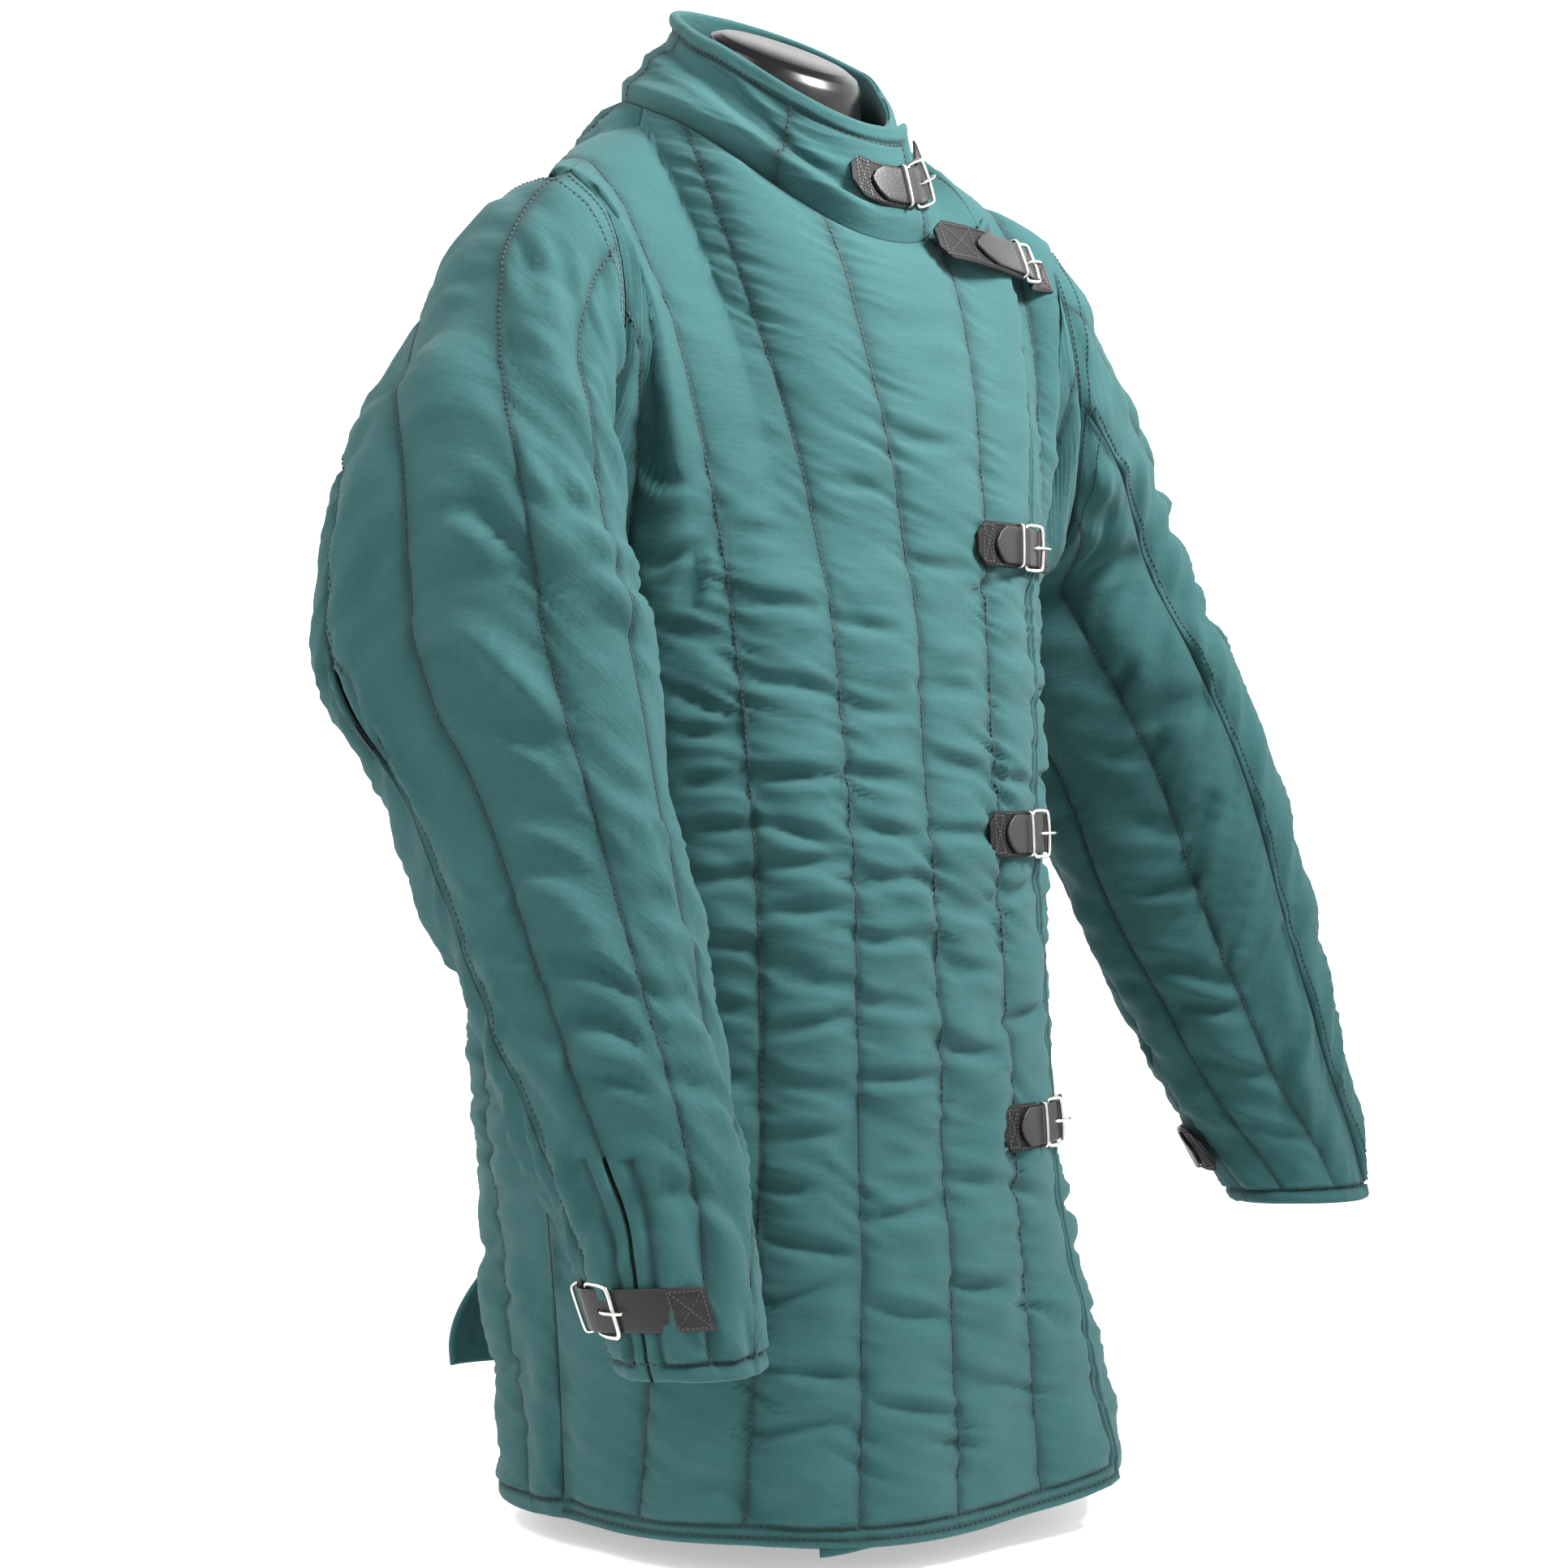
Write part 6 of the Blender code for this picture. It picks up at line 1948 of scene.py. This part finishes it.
@dataclass
class DressForm:
    """A limbless torso form on a pole and a round base."""

    columns: int = 96
    aside: float = -0.01
    slack: float = 0.0012
    base_radius: float = 0.13
    base_height: float = 0.01
    pole_radius: float = 0.016
    levels: Table = table("z half front back square tilt", [
        (0.345, 0.138, -0.112, 0.108, 2.2, 0.0), (0.365, 0.152, -0.126, 0.12, 2.2, 0.0),
        (0.43, 0.156, -0.136, 0.124, 2.2, 0.0), (0.5, 0.148, -0.128, 0.116, 2.2, 0.0),
        (0.56, 0.154, -0.124, 0.122, 2.2, 0.0), (0.62, 0.162, -0.112, 0.126, 2.3, 0.0),
        (0.68, 0.168, -0.094, 0.122, 2.3, 0.0), (0.74, 0.17, -0.074, 0.106, 2.2, 0.0),
        (0.792, 0.1736, -0.052, 0.086, 2.1, 0.0), (0.821, 0.163, -0.038, 0.07, 2.0, 0.0),
        (0.84, 0.146, -0.03, 0.062, 2.0, 2.0), (0.857, 0.118, -0.03, 0.06, 2.0, 5.0),
        (0.873, 0.092, -0.036, 0.058, 2.0, 10.0), (0.888, 0.07, -0.046, 0.058, 2.0, 16.0),
        (0.902, 0.059, -0.052, 0.057, 2.0, 21.0), (0.925, 0.055, -0.054, 0.056, 2.0, 26.0),
        (0.941, 0.0535, -0.0545, 0.054, 2.0, 27.5), (0.9475, 0.05, -0.052, 0.051, 2.0, 27.5),
        (0.951, 0.043, -0.045, 0.044, 2.0, 27.5)])

    def ring(self, z: float) -> Array:
        """The form's level ring, which slants about its neck."""
        row = {name: float(np.interp(z, self.levels.knots(), self.levels.values[name]))
               for name in self.levels.names[1:]}
        aside = self.aside * (1 - float(ease(0.8, 0.9, z)))
        give = self.slack * float(ease(0.7, 0.78, z)) * (1 - float(ease(0.935, 0.945, z)))
        middle, deep = (row["front"] + row["back"]) / 2, (row["back"] - row["front"]) / 2 - give
        lean = radians(row["tilt"])
        angles = 2 * pi * np.arange(self.columns) / self.columns
        c, s = power(np.cos(angles), np.sin(angles), row["square"])
        return np.stack([aside + (row["half"] - give) * c, middle + deep * s * cos(lean), z + deep * s * sin(lean)], 1)

    def build(self, finishes: Finishes) -> None:
        """Builds the torso, the pole and the base.

        Args:
            finishes: The object's materials.
        """
        zs = [*np.linspace(0.345, 0.941, 90), 0.943, 0.945, 0.9465, 0.9475, 0.9487, 0.9498, 0.9505, 0.951]
        torso = stack("form_torso_shell", [self.ring(float(z)) for z in zs], finishes.plastic)
        top, low, r, p = self.base_height, self.base_height + 0.0003, self.base_radius, self.pole_radius
        base = lathe("form_base_plate", [(r - 0.0012, 0), (r, 0.0012), (r, top - 0.003), (r - 0.0009, top - 0.0009),
                                         (r - 0.003, top), (r * 0.5, top)], 96, finishes.steel)
        pole = lathe("form_pole_tube", [(0.03, low), (0.03, low + 0.003), (0.0285, low + 0.0042), (0.02, low + 0.006),
                                        (p, low + 0.008), (p, 0.3447)], 48, finishes.steel)
        declare(torso, "form_torso")
        declare(base, "form_base")
        declare(pole, "form_pole")


@dataclass
class Studio:
    """Plain pale floor, soft light and the camera."""

    azimuth: float = -42.0
    distance: float = 2.0
    height: float = 0.469
    focal_pixels: float = 3740.0
    frame_pixels: float = 1932.0
    floor_colour: tuple[float, float, float] = (0.95, 0.95, 0.95)
    world: float = 0.08
    sweep_glow: float = 0.95
    front_glow: float = 0.18
    floor_glow: float = 0.42

    def paper(self, name: str, glow: float) -> Nodes:
        """A matt pale finish, lit through from behind.

        Args:
            name: The material's name.
            glow: How brightly it is lit.

        Returns:
            The material's nodes.
        """
        n = Nodes(name)
        n.fill(n.shader, Base_Color=(*self.floor_colour, 1), Roughness=0.9, Specular_IOR_Level=0.1,
               Emission_Color=(1, 1, 1, 1), Emission_Strength=glow)
        return n

    def build(self) -> None:
        """Builds the floor, its rise behind, the world, the lights and the camera."""
        scene, half = bpy.context.scene, 30
        points = [(-half, -half, -0.0005), (half, -half, -0.0005), (half, half, -0.0005), (-half, half, -0.0005)]
        mesh_from("floor", points, [[0, 1, 2, 3]], self.paper("pale_floor", self.floor_glow).material, False)
        turns = radians(-self.azimuth) + np.linspace(-pi, pi, 97)
        rise = [(3.4, 0.0), (3.9, 0.02), (4.3, 0.12), (4.6, 0.32), (4.8, 0.7), (4.85, 1.4), (4.85, 5.0)]
        rows = [np.stack([r * np.sin(turns), r * np.cos(turns), np.full(97, z)], axis=1) for r, z in rise]
        n = self.paper("pale_sweep", self.sweep_glow)
        n.fill(n.shader, Emission_Strength=n.add("ShaderNodeAttribute", {"attribute_name": "glow"}).outputs["Fac"])
        sweep = mesh_from("sweep", np.concatenate(rows), grid_quads(97, len(rise)), n.material)
        behind = 1 - ease(1.3, 2.6, np.abs(turns - radians(-self.azimuth)))
        glow = np.tile(self.front_glow + (self.sweep_glow - self.front_glow) * behind, len(rise))
        sweep.data.attributes.new("glow", "FLOAT", "POINT").data.foreach_set("value", glow.astype(np.float32))
        world = scene.world = bpy.data.worlds.new("studio")
        world.use_nodes = True
        n.fill(world.node_tree.nodes["Background"], Color=(1, 1, 1, 1), Strength=self.world)
        for name, at, aim, size, watts, spread in (("key", (0.45, -1.1, 1.85), (-0.06, -0.05, 0.76), 0.6, 19, 72.0),
                                                   ("fill", (-1.7, 0.0, 2.5), (0.0, 0.0, 0.7), 0.8, 12, 90.0)):
            light = bpy.data.lights.new(name, "AREA")
            light.energy, light.size, light.spread = watts, size, radians(spread)
            lamp = bpy.data.objects.new(name, light)
            lamp.location, lamp.rotation_mode = at, "QUATERNION"
            lamp.rotation_quaternion = (Vector(aim) - Vector(at)).to_track_quat("-Z", "Y")
            scene.collection.objects.link(lamp)
        scene.view_settings.view_transform = "Standard"
        camera = bpy.data.cameras.new("camera")
        camera.sensor_fit, camera.sensor_width, camera.clip_end = "HORIZONTAL", 36.0, 100
        camera.lens = 36.0 * self.focal_pixels / self.frame_pixels
        view = bpy.data.objects.new("camera", camera)
        turn = radians(self.azimuth)
        view.location = (sin(turn) * self.distance, -cos(turn) * self.distance, self.height)
        view.rotation_euler = (pi / 2, 0, turn)
        scene.collection.objects.link(view)
        scene.camera = view


# ------------ what the jacket is made of


def body_panels(body: BodyCut, quilting: Quilting) -> list[BodyPanel]:
    """The four panels of the body."""
    return [
        BodyPanel(body, quilting, Panel.OVER, 0.0, 6.0, (0.46, 0.88), 0.35, folds_of(FRONT_CREASES),
                  sewn_high=False, seed=11),
        BodyPanel(body, quilting, Panel.UNDER, 8 / 3, 9.0, (0.48, 0.88), 0.33, folds_of(FRONT_CREASES, 4.3, -0.009),
                  sewn_low=False, seed=12),
        BodyPanel(body, quilting, Panel.BACK_LEFT, 9.0, 13.5, (0.36, 0.9), 0.28,
                  folds_of(FRONT_CREASES, 7.8, 0.012), seed=13),
        BodyPanel(body, quilting, Panel.BACK_RIGHT, 13.5, 18.0, (0.36, 0.9), 0.26,
                  folds_of(FRONT_CREASES, 19.3, -0.015, True), seed=14),
    ]


def sleeve_cuts() -> tuple[SleeveCut, SleeveCut]:
    """The right and the left sleeve's cut."""
    right = SleeveCut(Side.RIGHT, Table("z x y wide thin yaw", [
        (0.605, -0.2825, -0.045, 0.0885, 0.044, -62.0), (0.549, -0.285, -0.053, 0.098, 0.041, -62.5),
        (0.51, -0.285, -0.069, 0.093, 0.04, -60.0), (0.477, -0.28, -0.085, 0.082, 0.039, -58.0),
        (0.383, -0.271, -0.12, 0.068, 0.037, -53.0), (0.315, -0.262, -0.14, 0.06, 0.036, -48.0),
        (0.27, -0.255, -0.152, 0.053, 0.036, -45.0), (0.2, -0.242, -0.171, 0.042, 0.035, -42.0),
        (0.139, -0.232, -0.182, 0.036, 0.034, -42.0)]), (0.7, 0.08, 0.76, 0.22))
    left = SleeveCut(Side.LEFT, Table("z x y wide thin yaw", [
        (0.598, 0.287, 0.02, 0.1, 0.042, -66.0), (0.563, 0.293, -0.001, 0.098, 0.041, -66.0),
        (0.49, 0.312, -0.031, 0.091, 0.039, -62.0), (0.365, 0.344, -0.062, 0.078, 0.037, -58.0),
        (0.29, 0.365, -0.083, 0.064, 0.036, -52.0), (0.218, 0.388, -0.097, 0.053, 0.036, -46.0),
        (0.172, 0.4, -0.111, 0.043, 0.035, -42.0)]), (0.6, 0.08, 0.8, 0.25))
    return right, left


def sleeves(body: BodyCut, quilting: Quilting) -> list[tuple[str, Sleeve]]:
    """Both sleeves with their names."""
    right, left = sleeve_cuts()
    return [("sleeve_right", Sleeve(right, body, quilting, folds=[
        *folds_of(RIGHT_SLEEVE_CREASES), *folds_of(RIGHT_SLEEVE_CREASES, 8.4, 0.013, True)], seed=20)),
            ("sleeve_left", Sleeve(left, body, quilting, folds=[
                *folds_of(LEFT_SLEEVE_CREASES), *folds_of(LEFT_SLEEVE_CREASES, -8.0),
                *folds_of(RIGHT_SLEEVE_CREASES, 0.2, -0.022)], seed=30))]


def closures(places: Places, collar: CollarCut) -> list[Closure]:
    """The seven closures."""
    right, left = sleeve_cuts()
    return [
        *[Closure(name, places.on_front(z), 0.0072, ledge=0.008)
          for name, z in (("chest", 0.62), ("waist", 0.437), ("hip", 0.255))],
        Closure("shoulder", places.on_shoulder(), 0.0088, reach=2.4, ledge=-0.004),
        Closure("collar_closure", places.on_collar(collar, 0.45), 0.006),
        Closure("cuff_right", places.on_cuff(right, 0.18), 0.0),
        Closure("cuff_left", places.on_cuff(left, 0.212), 0.0),
    ]


def main() -> None:
    """Builds the whole jacket, its form and the studio."""
    logging.basicConfig(level=logging.INFO, format="%(message)s", stream=sys.stdout)
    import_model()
    finishes, quilting, body = Finishes(), Quilting(), BodyCut()
    thread = Stitching(finishes.thread)
    for panel in body_panels(body, quilting):
        obj = panel.build(finishes)
        panel.stitch(thread)
        LOG.info("%s: %d faces", obj.name, len(obj.data.polygons))
    for side, sleeve in sleeves(body, quilting):
        sleeve.build(side, finishes, thread)
        LOG.info("%s built", side)
    collar_cut = CollarCut(body)
    collar = Collar(collar_cut, quilting, folds=folds_of(COLLAR_CREASES)).build(finishes, thread)
    LOG.info("%s: %d faces", collar.name, len(collar.data.polygons))
    on_leather = Stitching(finishes.black_thread, pitch=0.0026, length=0.002, thick=0.0004, proud=0.0002)
    for closure in closures(Places(body, quilting), collar_cut):
        closure.build(finishes, on_leather)
        LOG.info("%s closure built", closure.name)
    for stitching, name in ((thread, "cloth_stitches"), (on_leather, "leather_stitches")):
        obj = stitching.build(name)
        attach(obj, "root")
        LOG.info("%s: %d faces", obj.name, len(obj.data.polygons))
    DressForm().build(finishes)
    Studio().build()


if __name__ == "__main__":
    main()
